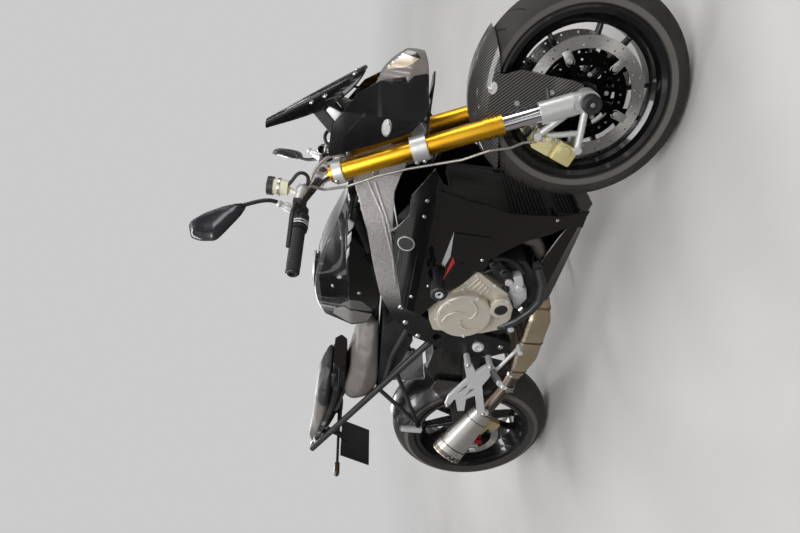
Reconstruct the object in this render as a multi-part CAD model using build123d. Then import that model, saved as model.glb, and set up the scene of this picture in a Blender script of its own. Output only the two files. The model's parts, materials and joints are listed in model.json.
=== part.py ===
"""Naked four-cylinder roadster, parked on its side stand with the bars turned a little to the left.

Every piece is drawn upright, with the steering straight: X points forward, Y to the rider's left and Z
up, from the ground midway between the axles. The fork's pieces are then turned about the steering axis,
and the whole motorcycle leans onto its stand, so that both tyres and the stand's foot touch Z = 0, with
the origin on the ground below the middle of the parked machine.
All sizes are millimetres and degrees.
"""
from build123d import *
from functools import cache
from math import radians, degrees, sin, cos, atan2, acos, sqrt, pi
import os

# Stance
WHEELBASE = 1439.0
RAKE = 24.6
TRAIL = 98.5
LEAN = 10.0
STEER_AT_REST = 11.8
MIDDLE_X = -10.0
MIDDLE_Y = 165.0

# Tyres and rims
FRONT_TYRE_R = 300.0
FRONT_TYRE_W = 120.0
FRONT_CROWN_DROP = 46.0
REAR_TYRE_R = 320.0
REAR_TYRE_W = 190.0
REAR_CROWN_DROP = 60.0
BEAD_R = 218.7
FLANGE_R = 231.0
FRONT_RIM_W = 104.0
REAR_RIM_W = 166.0
FLANGE_T = 6.0
SPOKE_PAIRS = 5
FIT_GAP = 0.3

# Fork and brakes
FORK_SPREAD = 107.0
TUBE_R = 27.0
STANCHION_R = 23.0
FOOT_R = 31.0
CLAMP_WALL = 10.0
STEM_R = 17.0
FRONT_DISC_R = 160.0
FRONT_DISC_BAND = 33.0
FRONT_DISC_Y = 67.5
FRONT_DISC_T = 4.5
REAR_DISC_R = 110.0
REAR_DISC_BAND = 30.0
REAR_DISC_Y = 98.0
REAR_DISC_T = 5.0
PAD_GAP = 5.0
BOBBIN_REACH = 26.0
SPOKES_FROM = -35.0
AXLE_R = 12.5
HUB_BORE_R = AXLE_R + FIT_GAP

# Heights along the steering axis, from the ground point of that axis
FOOT_TOP = 440.0
TUBE_FOOT = 540.0
LOWER_CLAMP = (753.0, 798.0)
UPPER_CLAMP = (1000.0, 1028.0)
FORK_CAP = 1040.0

# Chain drive
CHAIN_PITCH = 15.875
FRONT_TEETH = 16
REAR_TEETH = 44
CHAIN_Y = 112.0
CHAIN_W = 16.0
CHAIN_H = 14.0

# Frame
FRAME_Y = 170.0
FRAME_WALL = 42.0
PIVOT_X = -131.0
PIVOT_Z = 428.0
PIVOT_R = 15.0

# Side stand
STAND_PIVOT = Vector(-70.0, 156.0, 288.0)
STAND_LEG = Vector(0.297, 0.577, -0.762).normalized()
STAND_FOLDED = Vector(-0.99, 0.13, 0.08).normalized()
STAND_EYE_R = 14.0
STAND_PIN_R = 6.0

# Datums worked out from the sizes above
FRONT_AXLE = Vector(WHEELBASE / 2, 0, FRONT_TYRE_R)
REAR_AXLE = Vector(-WHEELBASE / 2, 0, REAR_TYRE_R)
HEAD_FOOT = Vector(WHEELBASE / 2 + TRAIL, 0, 0)
HEAD_DIR = Vector(-sin(radians(RAKE)), 0, cos(radians(RAKE)))
HEAD_FORE = Vector(cos(radians(RAKE)), 0, sin(radians(RAKE)))
AXLE_HEIGHT = (FRONT_AXLE - HEAD_FOOT).dot(HEAD_DIR)
FORK_OFFSET = (FRONT_AXLE - HEAD_FOOT).dot(HEAD_FORE)
STAND_AXIS = STAND_LEG.cross(STAND_FOLDED).normalized()


def turned(point, origin, axis, angle):
    """A point turned about a line by an angle in degrees."""
    arm = point - origin
    c, s = cos(radians(angle)), sin(radians(angle))
    return origin + arm * c + axis.cross(arm) * s + axis * (axis.dot(arm) * (1 - c))


def crown_radius(width, drop):
    """Radius of a tyre's crown arc from its width and the fall from crown to shoulder."""
    return ((width / 2) ** 2 + drop ** 2) / (2 * drop)


FRONT_CROWN_R = crown_radius(FRONT_TYRE_W, FRONT_CROWN_DROP)
REAR_CROWN_R = crown_radius(REAR_TYRE_W, REAR_CROWN_DROP)


def lowest(centre, axle, tyre_r, crown_r):
    """Height of a tyre's lowest point, with the crown as an arc swept round a ring."""
    return centre.Z - (tyre_r - crown_r) * sqrt(1 - axle.Z ** 2) - crown_r


def settle():
    """Pitch and lift that bring both leaned tyres down onto the ground."""
    origin, ex, ey = Vector(0, 0, 0), Vector(1, 0, 0), Vector(0, 1, 0)
    steered_axle = turned(FRONT_AXLE, HEAD_FOOT, HEAD_DIR, STEER_AT_REST)
    steered_dir = turned(ey, origin, HEAD_DIR, STEER_AT_REST)
    wheels = [
        (steered_axle, steered_dir, FRONT_TYRE_R, FRONT_CROWN_R),
        (REAR_AXLE, ey, REAR_TYRE_R, REAR_CROWN_R),
    ]
    pitch = 0.0
    for _ in range(5):
        lows = []
        for centre, axle, tyre_r, crown_r in wheels:
            centre = turned(turned(centre, origin, ex, -LEAN), origin, ey, pitch)
            axle = turned(turned(axle, origin, ex, -LEAN), origin, ey, pitch)
            lows.append(lowest(centre, axle, tyre_r, crown_r))
        pitch += degrees((lows[0] - lows[1]) / WHEELBASE)
    return pitch, -lows[1]


PITCH, LIFT = settle()


def placed_direction(direction):
    """A direction of the upright motorcycle as it is when parked."""
    origin = Vector(0, 0, 0)
    leaned = turned(direction, origin, Vector(1, 0, 0), -LEAN)
    return turned(leaned, origin, Vector(0, 1, 0), PITCH)


def placed_point(point):
    """A point of the upright motorcycle as it is when parked."""
    return placed_direction(point) + Vector(-MIDDLE_X, -MIDDLE_Y, LIFT)


def parked(shape):
    """A piece of the upright motorcycle, leaned onto the stand."""
    return shape.rotate(Axis.X, -LEAN).rotate(Axis.Y, PITCH).moved(Location((-MIDDLE_X, -MIDDLE_Y, LIFT)))


def steered(shape):
    """A piece of the fork, turned to the left as it is at rest."""
    return shape.rotate(Axis(HEAD_FOOT, HEAD_DIR), STEER_AT_REST)


def fork_point(height, fore, side=0.0):
    """A point from its height along the steering axis and its distances ahead of it and to the left."""
    return HEAD_FOOT + HEAD_DIR * height + HEAD_FORE * fore + Vector(0, side, 0)


def fork_plane(height):
    """Plane square to the steering axis: its x points forward and its y to the left."""
    return Plane(origin=fork_point(height, 0), x_dir=HEAD_FORE, z_dir=HEAD_DIR)


def rod(start, end, radius, end_radius=None):
    """Round bar or cone between two points."""
    start, end = Vector(*start), Vector(*end)
    span = end - start
    plane = Plane(origin=start, z_dir=span.normalized())
    if end_radius is None or end_radius == radius:
        return Part() + Solid.make_cylinder(radius, span.length, plane)
    return Part() + Solid.make_cone(radius, end_radius, span.length, plane)


def pipe(start, end, radius, bore):
    """Round bar with a bore right through it."""
    start, end = Vector(*start), Vector(*end)
    over = (end - start).normalized() * 2
    return rod(start, end, radius) - rod(start - over, end + over, bore)


def tube(points, radius, bends):
    """Round tube along straight runs joined by tangent arcs."""
    path = FilletPolyline(*points, radius=bends)
    ends = Plane(origin=path @ 0, z_dir=path % 0)
    return Part() + sweep(ends * Circle(radius), path)


def block(x, y, z):
    """Box from its limits along the three axes."""
    centre = ((x[0] + x[1]) / 2, (y[0] + y[1]) / 2, (z[0] + z[1]) / 2)
    return Pos(*centre) * Box(x[1] - x[0], y[1] - y[0], z[1] - z[0])


def side_plate(outline, y, corner=0.0):
    """Plate drawn from the side as points of X and Z, between two distances to the left."""
    face = make_face(Polyline(*[(px, y[0], pz) for px, pz in outline], close=True))
    if corner:
        face = fillet(face.vertices(), corner)
    return extrude(face, amount=y[1] - y[0], dir=(0, 1, 0))


def plan_plate(outline, z, corner=0.0):
    """Plate drawn from above as points of X and Y, between two heights."""
    face = make_face(Polyline(*[(px, py, z[0]) for px, py in outline], close=True))
    if corner:
        face = fillet(face.vertices(), corner)
    return extrude(face, amount=z[1] - z[0], dir=(0, 0, 1))


def cross_section(x, outline, corner):
    """Rounded section square to X, from points of Y and Z."""
    face = make_face(Polyline(*[(x, py, pz) for py, pz in outline], close=True))
    return fillet(face.vertices(), corner)


def saddle(stations, corner, ruled=False):
    """Symmetrical body lofted over sections of two widths.

    Columns: x, low z, low half width, middle z, middle half width, top z, top half width.
    """
    faces = []
    for x, z_low, w_low, z_mid, w_mid, z_top, w_top in stations:
        right = [(-w_low, z_low), (-w_mid, z_mid), (-w_top, z_top)]
        left = [(-py, pz) for py, pz in reversed(right)]
        faces.append(cross_section(x, right + left, corner))
    return Part() + loft(faces, ruled=ruled)


def mirrored(shape):
    """The same piece on the other side of the motorcycle."""
    return mirror(shape, about=Plane.XZ)


def both(shape):
    """A piece of the right side together with its twin on the left."""
    return shape + mirrored(shape)


def ring(r_out, r_in, y):
    """Flat ring about the Y axis between two distances to the left."""
    face = Pos((r_out + r_in) / 2, (y[0] + y[1]) / 2) * Rectangle(r_out - r_in, y[1] - y[0])
    return revolve(face, Axis.Y)


def spun(points):
    """Solid of revolution about the Y axis, from points of radius and Y."""
    return revolve(make_face(Polyline(*points, close=True)), Axis.Y)


def around(shape, count, start=0.0):
    """Copies of a shape spaced evenly about the Y axis."""
    total = Part()
    for i in range(count):
        total += shape.rotate(Axis.Y, start + 360.0 * i / count)
    return total


def at(place, shape):
    """A shape drawn about the origin, moved to a place."""
    return Pos(place.X, place.Y, place.Z) * shape


# Wheels
def tyre(tyre_r, width, drop, rim_w):
    """Tyre with a round crown, bulging walls and beads between the rim's flanges."""
    shoulder = tyre_r - drop
    bead = rim_w / 2 - FLANGE_T / 2 - FIT_GAP
    profile = [
        ThreePointArc((shoulder, -width / 2), (tyre_r, 0), (shoulder, width / 2)),
        Line((shoulder, width / 2), (FLANGE_R + 5, bead + 7)),
        Line((FLANGE_R + 5, bead + 7), (FLANGE_R + 1, bead)),
        Line((FLANGE_R + 1, bead), (BEAD_R, bead)),
        Line((BEAD_R, bead), (BEAD_R, -bead)),
        Line((BEAD_R, -bead), (FLANGE_R + 1, -bead)),
        Line((FLANGE_R + 1, -bead), (FLANGE_R + 5, -bead - 7)),
        Line((FLANGE_R + 5, -bead - 7), (shoulder, -width / 2)),
    ]
    return revolve(make_face(profile), Axis.Y)


def rim(rim_w, hub_r, hub_w, spoke_root, spoke_tip):
    """Cast rim: drop-centre barrel, hub and pairs of thin spokes."""
    half = rim_w / 2
    barrel = spun([
        (BEAD_R, -half + 3), (FLANGE_R, -half + 3), (FLANGE_R, -half - 3), (FLANGE_R - 6, -half - 4),
        (212, -half), (202, -half * 0.72), (186, -28), (186, 28), (202, half * 0.72), (212, half),
        (FLANGE_R - 6, half + 4), (FLANGE_R, half + 3), (FLANGE_R, half - 3), (BEAD_R, half - 3),
        (209, half * 0.66), (194, 26), (194, -26), (209, -half * 0.66),
    ])
    hub = ring(hub_r, HUB_BORE_R, (-hub_w / 2, hub_w / 2))
    spokes = Part()
    for side in (-1, 1):
        root = Plane(origin=(hub_r - 6, 0, side * 9), x_dir=(0, 0, 1), z_dir=(1, 0, 0))
        tip_angle = radians(side * 14)
        tip_at = (190 * cos(tip_angle), 0, 190 * sin(tip_angle))
        tip = Plane(origin=tip_at, x_dir=(0, 0, 1), z_dir=(1, 0, 0))
        spokes += loft([root * RectangleRounded(*spoke_root, 5), tip * RectangleRounded(*spoke_tip, 4)])
    return barrel + hub + around(spokes, SPOKE_PAIRS, 18)


def front_tyre():
    return at(FRONT_AXLE, tyre(FRONT_TYRE_R, FRONT_TYRE_W, FRONT_CROWN_DROP, FRONT_RIM_W))


def front_rim():
    return at(FRONT_AXLE, rim(FRONT_RIM_W, 40, 112, (20, 38), (12, 28)))


def brake_disc(disc_r, band, y, thick, carrier_in, arms, start):
    """Disc with arms inward to the bobbins, the drilled ring behind them and the carrier's arms."""
    faces = (y - thick / 2, y + thick / 2)
    total = ring(disc_r, disc_r - band, faces)
    for share, offset in ((0.26, 9), (0.74, 3)):
        hole = rod((disc_r - band * share, y - thick, 0), (disc_r - band * share, y + thick, 0), 2.6)
        total -= around(hole, 4 * arms, offset)
    bobbin_r = disc_r - band - BOBBIN_REACH
    tongue = side_plate([
        (bobbin_r - 14, -9), (bobbin_r - 2, -16), (disc_r - band + 2, -30), (disc_r - band + 2, 30),
        (bobbin_r - 2, 16), (bobbin_r - 14, 9)], faces)
    bobbin = rod((bobbin_r, faces[0] - 1, 0), (bobbin_r, faces[1] + 1, 0), 10)
    total += around(tongue + bobbin, arms, start)
    behind = (faces[1], faces[1] + 2.5)
    sensor = ring(bobbin_r + 14, bobbin_r - 18, behind)
    hole = rod((bobbin_r - 2, behind[0] - 1, 0), (bobbin_r - 2, behind[1] + 1, 0), 3.4)
    sensor -= around(hole, 6 * arms, start + 6)
    arm = block((carrier_in + 6, bobbin_r), behind, (-9, 9))
    hub = ring(carrier_in + 12, carrier_in, (faces[0], behind[1]))
    return total + sensor + around(arm, arms, start) + hub


def front_discs():
    """Both front discs, with the flanges of the hub that carry them."""
    sizes = (FRONT_DISC_R, FRONT_DISC_BAND, -FRONT_DISC_Y, FRONT_DISC_T)
    disc = brake_disc(*sizes, 46, SPOKE_PAIRS, SPOKES_FROM)
    disc += ring(56, 41, (-FRONT_DISC_Y, -56))
    return at(FRONT_AXLE, both(disc))


def rear_tyre():
    return at(REAR_AXLE, tyre(REAR_TYRE_R, REAR_TYRE_W, REAR_CROWN_DROP, REAR_RIM_W))


def rear_rim():
    return at(REAR_AXLE, rim(REAR_RIM_W, 52, 150, (24, 46), (14, 30)))


def rear_disc():
    disc = brake_disc(REAR_DISC_R, REAR_DISC_BAND, -REAR_DISC_Y, REAR_DISC_T, 40, SPOKE_PAIRS, SPOKES_FROM)
    return at(REAR_AXLE, disc + ring(54, 42, (-REAR_DISC_Y, -75)))


def pitch_radius(teeth):
    return CHAIN_PITCH / (2 * sin(pi / teeth))


def rear_sprocket():
    """Toothed ring of the final drive, with five arms and its carrier."""
    tip = pitch_radius(REAR_TEETH) - 6.5
    faces = (CHAIN_Y - 3, CHAIN_Y + 3)
    wheel = ring(tip, 78, faces) + ring(58, 40, faces) + around(block((50, 84), faces, (-11, 11)), 5)
    notch = rod((tip + 0.5, faces[0] - 1, 0), (tip + 0.5, faces[1] + 1, 0), 2.6)
    wheel -= around(notch, REAR_TEETH)
    return at(REAR_AXLE, wheel + ring(56, 40, (75, faces[0])))


# Fork
def fork_tubes():
    """Gold outer tubes: the sleeve in the clamps, the collar and its machined rings at the foot."""
    side = -FORK_SPREAD
    cap = (fork_point(UPPER_CLAMP[1], FORK_OFFSET, side), fork_point(FORK_CAP, FORK_OFFSET, side))
    total = rod(fork_point(TUBE_FOOT, FORK_OFFSET, side), cap[0], TUBE_R)
    for low, high in ((TUBE_FOOT, 552), (556, 562), (566, 572), (576, 592)):
        total += rod(fork_point(low, FORK_OFFSET, side), fork_point(high, FORK_OFFSET, side), TUBE_R + 2)
    total += rod(*cap, TUBE_R - 2)
    total += rod(cap[1], fork_point(FORK_CAP + 8, FORK_OFFSET, side), 10)
    return both(total)


@cache
def fork_stanchions():
    """Chrome inner tubes between the feet and the outer tubes."""
    low = fork_point(FOOT_TOP, FORK_OFFSET, -FORK_SPREAD)
    high = fork_point(TUBE_FOOT, FORK_OFFSET, -FORK_SPREAD)
    return both(rod(low, high, STANCHION_R))


# Lugs of the radial calipers, as height and reach ahead of the steering axis
CALIPER_LOW_LUG = (362.0, -92.0)
CALIPER_HIGH_LUG = (458.0, -22.0)
BOSS_OUT = 28.0


@cache
def fork_feet():
    """Cast feet: the barrel round the stanchion, the axle boss and the triangulated caliper bracket."""
    side = -FORK_SPREAD
    total = rod(fork_point(350, FORK_OFFSET, side), fork_point(FOOT_TOP, FORK_OFFSET, side), FOOT_R)
    total += rod(fork_point(AXLE_HEIGHT, FORK_OFFSET, side), fork_point(350, FORK_OFFSET, side), 26, FOOT_R)
    boss = (FRONT_AXLE + Vector(0, side - BOSS_OUT, 0), FRONT_AXLE + Vector(0, side + 24, 0))
    total += rod(*boss, 29)
    for start, end, thick in (
        ((AXLE_HEIGHT, FORK_OFFSET), CALIPER_LOW_LUG, 10),
        ((352, -46), (431, -30), 8),
        ((AXLE_HEIGHT + 30, FORK_OFFSET - 10), CALIPER_HIGH_LUG, 10),
    ):
        total += rod(fork_point(*start, side), fork_point(*end, side), thick)
    for lug in (CALIPER_LOW_LUG, CALIPER_HIGH_LUG):
        total += rod(fork_point(*lug, side - 11), fork_point(*lug, side + 11), 11)
    total -= rod(FRONT_AXLE + Vector(0, side - 40, 0), FRONT_AXLE + Vector(0, side + 40, 0), AXLE_R)
    total -= rod(boss[0], boss[0] - Vector(0, 20, 0), 40)
    return both(total) - fork_stanchions()


@cache
def front_calipers():
    """Four-piston calipers over the rear of each disc, bolted to the feet."""
    outer, inner = FORK_SPREAD + 1, 38.0
    body = block((-62, 62), (-outer, -inner), (FRONT_DISC_R - 36, FRONT_DISC_R + 18))
    slot_y = (-FRONT_DISC_Y - FRONT_DISC_T / 2 - PAD_GAP, -FRONT_DISC_Y + FRONT_DISC_T / 2 + PAD_GAP)
    body -= block((-90, 90), slot_y, (0, FRONT_DISC_R + PAD_GAP + 2))
    body = chamfer(body.edges().filter_by(Axis.Y), 4)
    for x in (-29, 29):
        body += rod((x, -outer - 4, FRONT_DISC_R - 14), (x, -outer + 2, FRONT_DISC_R - 14), 17)
    body -= block((-7, 7), (-outer - 1, -outer + 8), (FRONT_DISC_R - 40, FRONT_DISC_R + 20))
    body = body.rotate(Axis.Y, -(90 - 45) - RAKE)
    body = at(FRONT_AXLE, body)
    return both(body - mirrored(fork_feet()) - fork_feet())


def front_axle():
    """Front axle with its collars and the crash protectors on its ends."""
    total = rod(FRONT_AXLE + Vector(0, -140, 0), FRONT_AXLE + Vector(0, 140, 0), AXLE_R)
    end = FRONT_AXLE + Vector(0, -FORK_SPREAD - BOSS_OUT, 0)
    collar = end + Vector(0, -10, 0)
    return total + both(rod(end, collar, 20) + rod(collar, collar + Vector(0, -24, 0), 25))


def clamp_sketch(radius, waist):
    """Outline of a fork clamp seen along the steering axis."""
    shape = Sketch()
    for side in (-1, 1):
        shape += Pos(FORK_OFFSET, side * FORK_SPREAD) * Circle(radius)
    shape += make_face(Polyline(
        (-waist, -34), (FORK_OFFSET - radius + 6, -FORK_SPREAD), (FORK_OFFSET + radius - 8, -FORK_SPREAD),
        (FORK_OFFSET + 8, -40), (FORK_OFFSET + 8, 40), (FORK_OFFSET + radius - 8, FORK_SPREAD),
        (FORK_OFFSET - radius + 6, FORK_SPREAD), (-waist, 34), close=True))
    return shape


def clamp(levels, radius, waist):
    body = extrude(fork_plane(levels[0]) * clamp_sketch(radius, waist), amount=levels[1] - levels[0])
    for side in (-1, 1):
        bore = (fork_point(levels[0] - 5, FORK_OFFSET, side * FORK_SPREAD),
                fork_point(levels[1] + 5, FORK_OFFSET, side * FORK_SPREAD))
        body -= rod(*bore, TUBE_R)
    return body


def lower_clamp():
    """Lower clamp with the steering stem pressed into it."""
    body = clamp(LOWER_CLAMP, TUBE_R + CLAMP_WALL, 24)
    return body + rod(fork_point(LOWER_CLAMP[1] - 5, 0), fork_point(UPPER_CLAMP[0], 0), STEM_R)


BAR_HEIGHT = 1094.0
BAR_FORE = 12.6
BAR_R = 12.0


@cache
def upper_clamp():
    """Upper clamp with its stem nut and the two risers that hold the bar."""
    body = clamp(UPPER_CLAMP, TUBE_R + CLAMP_WALL - 2, 20)
    body += rod(fork_point(UPPER_CLAMP[1], 0), fork_point(UPPER_CLAMP[1] + 8, 0), 18)
    for side in (-50, 50):
        foot = fork_point(UPPER_CLAMP[1] - 2, BAR_FORE + 8, side)
        body += rod(foot, fork_point(BAR_HEIGHT - 14, BAR_FORE, side), 15)
        ends = (fork_point(BAR_HEIGHT, BAR_FORE, side - 14), fork_point(BAR_HEIGHT, BAR_FORE, side + 14))
        body += rod(*ends, BAR_R + 10)
        body -= rod(ends[0] - Vector(0, 5, 0), ends[1] + Vector(0, 5, 0), BAR_R)
    return body


# The bar's right half, from its middle to its end
BAR_MIDDLE = fork_point(BAR_HEIGHT, BAR_FORE)
BAR_KNEE = BAR_MIDDLE + Vector(0, -85, 0)
BAR_ELBOW = Vector(362, -195, 1021)
BAR_END = Vector(264, -398, 1004)
GRIP_DIR = (BAR_END - BAR_ELBOW).normalized()
# Square to the grip, towards its lever
LEVER_DIR = (Vector(0.88, 0.42, 0.2) - GRIP_DIR * Vector(0.88, 0.42, 0.2).dot(GRIP_DIR)).normalized()


def grip_point(along, ahead=0.0):
    """A point by the right grip, by its distance from the bar's end and ahead of the grip's axis."""
    return BAR_END - GRIP_DIR * along + LEVER_DIR * ahead


def flipped(point):
    return Vector(point.X, -point.Y, point.Z)


def handlebar():
    points = [BAR_END, BAR_ELBOW, BAR_KNEE, flipped(BAR_KNEE), flipped(BAR_ELBOW), flipped(BAR_END)]
    return tube(points, BAR_R, 40)


def hand_grips():
    """Rubber grips, with a flange inside and a weight at the end of the bar."""
    grip = pipe(grip_point(0), grip_point(122), 17, BAR_R)
    grip += pipe(grip_point(118), grip_point(124), 23, BAR_R)
    grip += rod(grip_point(-22), grip_point(0), 18)
    return both(grip)


@cache
def hand_controls():
    """Switch housings, master cylinders and levers beside the grips."""
    total = pipe(grip_point(128), grip_point(166), 24, BAR_R)
    total += pipe(grip_point(172), grip_point(190), 20, BAR_R)
    total += rod(grip_point(221, 21), grip_point(166, 22), 12)
    total += rod(grip_point(196), grip_point(196, 20), 10)
    pivot = grip_point(180, 42)
    total += rod(pivot + Vector(0, 0, -10), pivot + Vector(0, 0, 10), 12)
    total += rod(grip_point(180, 20), pivot, 9)
    total += tube([pivot, grip_point(122, 66), grip_point(16, 58)], 6, 40)
    bar = [BAR_END, BAR_ELBOW, BAR_KNEE]
    total -= tube(bar, BAR_R, 40)
    return both(total)


RESERVOIR = Vector(392, -196, 1062)


@cache
def fluid_reservoir():
    """Brake fluid cup beside the bar, with its cap and bracket."""
    total = rod(RESERVOIR, RESERVOIR + Vector(0, 0, 44), 20, 23)
    total += rod(RESERVOIR + Vector(0, 0, 44), RESERVOIR + Vector(0, 0, 58), 25)
    total += rod(RESERVOIR + Vector(0, 0, 4), Vector(380, -206, 1029), 6)
    return total - hand_controls()


# Each mirror: its stalk's foot, bend and neck, the top of its head, and the direction across the glass
MIRRORS = {
    "right": (Vector(347, -235, 1034), Vector(378, -252, 1100), Vector(356, -280, 1172),
              Vector(300, -328, 1293), Vector(0.25, 0.95, 0.3)),
    "left": (Vector(347, 235, 1034), Vector(324, 262, 1084), Vector(322, 288, 1126),
             Vector(300, 372, 1210), Vector(0.2, -0.62, 0.76)),
}
MIRROR_OUTLINE = [
    (-14, -8), (-14, 3), (38, 17), (92, 20), (140, 8), (142, -44), (121, -70), (86, -92),
    (64, -78), (8, -34),
]
MIRROR_DEPTH = 26.0


def mirror_head(neck, top, across):
    """Head of a mirror: flat where the glass is, and drawn in towards its back."""
    axis = (top - neck).normalized()
    across = (across - axis * across.dot(axis)).normalized()
    back = axis.cross(across)
    back = back if back.X > 0 else back * -1
    plane = Plane(origin=neck - back * 6, x_dir=axis, z_dir=back)
    sense = 1 if plane.y_dir.dot(across) > 0 else -1
    face = make_face(Polyline(*[(along, sense * over) for along, over in MIRROR_OUTLINE], close=True))
    return extrude(plane * face, amount=MIRROR_DEPTH, taper=24)


def mirrors():
    """Mirrors on thin stalks, the left one folded down."""
    total = Part()
    for foot, bend, neck, top, across in MIRRORS.values():
        total += mirror_head(neck, top, across)
        total += tube([foot, bend, neck, neck + (top - neck).normalized() * 14], 5.5, 22)
    return total - hand_controls()


MUDGUARD_GAP = 9.0
MUDGUARD_T = 3.5


def front_mudguard():
    """Mudguard over the tyre, with a leg down each side towards the axle."""
    inner = FRONT_TYRE_R + MUDGUARD_GAP
    half = FRONT_TYRE_W / 2 + 12
    drop = 68
    profile = [
        ThreePointArc((inner - drop, -half), (inner, 0), (inner - drop, half)),
        Line((inner - drop, half), (inner - drop, half + MUDGUARD_T)),
        ThreePointArc((inner - drop, half + MUDGUARD_T), (inner + MUDGUARD_T, 0),
                      (inner - drop, -half - MUDGUARD_T)),
        Line((inner - drop, -half - MUDGUARD_T), (inner - drop, -half)),
    ]
    band = revolve(make_face(profile), Axis.Y, 86)
    band = at(FRONT_AXLE, band.rotate(Axis.Y, -146))
    band = band & side_plate([
        (440, 480), (486, 486), (550, 500), (640, 520), (751, 536), (801, 549), (848, 567),
        (890, 590), (890, 680),
        (440, 680)], (-100, 100))
    leg = side_plate([
        (637, 532), (744, 538), (760, 504), (769, 481), (764, 420), (760, 338), (753, 312),
        (742, 309), (722, 334),
        (692, 403), (674, 440), (647, 489)], (-half - 10, -half - 4), 5)
    shoulder = side_plate([(630, 552), (754, 554), (748, 512), (642, 508)], (-half - 8, -half + 3), 6)
    tie = rod((702, -FORK_SPREAD, 400), (728, -half - 6, 404), 6)
    return both(leg + shoulder + tie - fork_feet()) + band


def brake_hoses():
    """Hoses from the controls down behind the fork tubes to the calipers."""
    points = [
        (374, -211, 1024), (398, -172, 1008), (378, -136, 974), (392, -125, 912),
        (434, -117, 826), (466, -112, 742),
        (490, -112, 668), (514, -118, 600), (552, -122, 530), (566, -116, 474),
        (584, -108, 440), (590, -106, 406),
    ]
    return both(tube(points, 4, 24)) - fork_feet() - front_calipers() - hand_controls() - fluid_reservoir()


# Nose, turning with the fork
@cache
def headlamp():
    """Lamp unit behind its lens, with the bracket that the fork clamps carry."""
    body = saddle([
        (628, 735, 70, 800, 88, 872, 60),
        (690, 722, 62, 780, 84, 858, 56),
        (768, 742, 20, 765, 34, 790, 20),
    ], 6)
    for side in (-1, 1):
        body += rod((560, side * 40, 700), (650, side * 40, 770), 8)
    return body


def nose_band(outer, wall):
    """Band seen from above that the nose panels follow."""
    out = [(452, -outer), (600, -outer + 4), (690, -outer + 32), (742, -outer + 66)]
    inn = [(px - wall * 0.5, py + wall) for px, py in reversed(out)]
    return plan_plate(out + inn, (600, 1100))


@cache
def nose_cowl():
    """Side panels of the nose, from beside the clamps forward round the lamp."""
    outline = [
        (468, 972), (560, 968), (652, 905), (690, 850), (722, 724), (628, 710), (566, 752), (520, 850)]
    panel = side_plate(outline, (-140, -30), 8) & nose_band(118, 5)
    chin = plan_plate([(560, -100), (700, -62), (720, 0), (700, 62), (560, 100)], (704, 709), 8)
    web = block((600, 606), (-108, 108), (709, 760))
    stay = rod((624, -102, 908), (632, -84, 956), 4)
    return both(panel + stay) + chin + web - headlamp() - windscreen()


@cache
def windscreen():
    """Short smoked screen, bowed back at its edges."""
    faces = []
    low, top = Vector(706, 0, 900), Vector(520, 0, 1166)
    up = (top - low).normalized()
    normal = Vector(up.Z, 0, -up.X)
    for share, half, bow in ((0.0, 34, 8), (0.25, 92, 34), (0.7, 84, 28), (1.0, 56, 14)):
        centre = low + up * ((top - low).length * share)
        plane = Plane(origin=centre, x_dir=(0, 1, 0), z_dir=up)
        sense = 1 if plane.y_dir.dot(normal) > 0 else -1
        thick = 4 * sense
        drop = -bow * sense
        outline = [
            ThreePointArc((-half, drop), (0, 0), (half, drop)),
            Line((half, drop), (half, drop + thick)),
            ThreePointArc((half, drop + thick), (0, thick), (-half, drop + thick)),
            Line((-half, drop + thick), (-half, drop)),
        ]
        faces.append(plane * make_face(outline))
    return Part() + loft(faces)


def instrument_panel():
    """Instrument housing behind the screen."""
    body = Plane(origin=(560, 0, 985), z_dir=(-0.72, 0, 0.69)) * Box(84, 168, 34)
    body = fillet(body.edges(), 6)
    return body + rod((560, 0, 975), (428, 0, 934), 9) - upper_clamp()


def front_indicators():
    """Turn signals on the sides of the nose."""
    lens = loft([
        Plane(origin=(572, -114, 818), x_dir=(1, 0, 0), z_dir=(0, -1, 0)) * Ellipse(25, 14),
        Plane(origin=(572, -132, 816), x_dir=(1, 0, 0), z_dir=(0, -1, 0)) * Ellipse(15, 8),
    ])
    return both((Part() + lens) - nose_cowl())


# Frame
SPAR_OUTLINE = [
    (-150, 318), (-108, 318), (-86, 380), (-70, 450), (-52, 540), (-44, 600), (8, 668),
    (81, 721), (245, 770),
    (380, 778), (462, 752), (482, 800), (424, 905), (392, 900), (278, 849), (171, 819),
    (66, 786), (-40, 728),
    (-112, 650), (-150, 560), (-184, 440), (-176, 370),
]


def frame_band(outer, wall):
    """Band seen from above that a spar follows from the pivot plate to the steering head."""
    out = [(-220, -outer), (60, -outer), (150, -outer + 12), (300, -outer + 52), (420, -46), (500, -40)]
    inn = [(500, 0), (400, 0), (296, -outer + 52 + wall), (142, -outer + 12 + wall), (54, -outer + wall),
           (-220, -outer + wall)]
    return plan_plate(out + inn, (250, 950))


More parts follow.
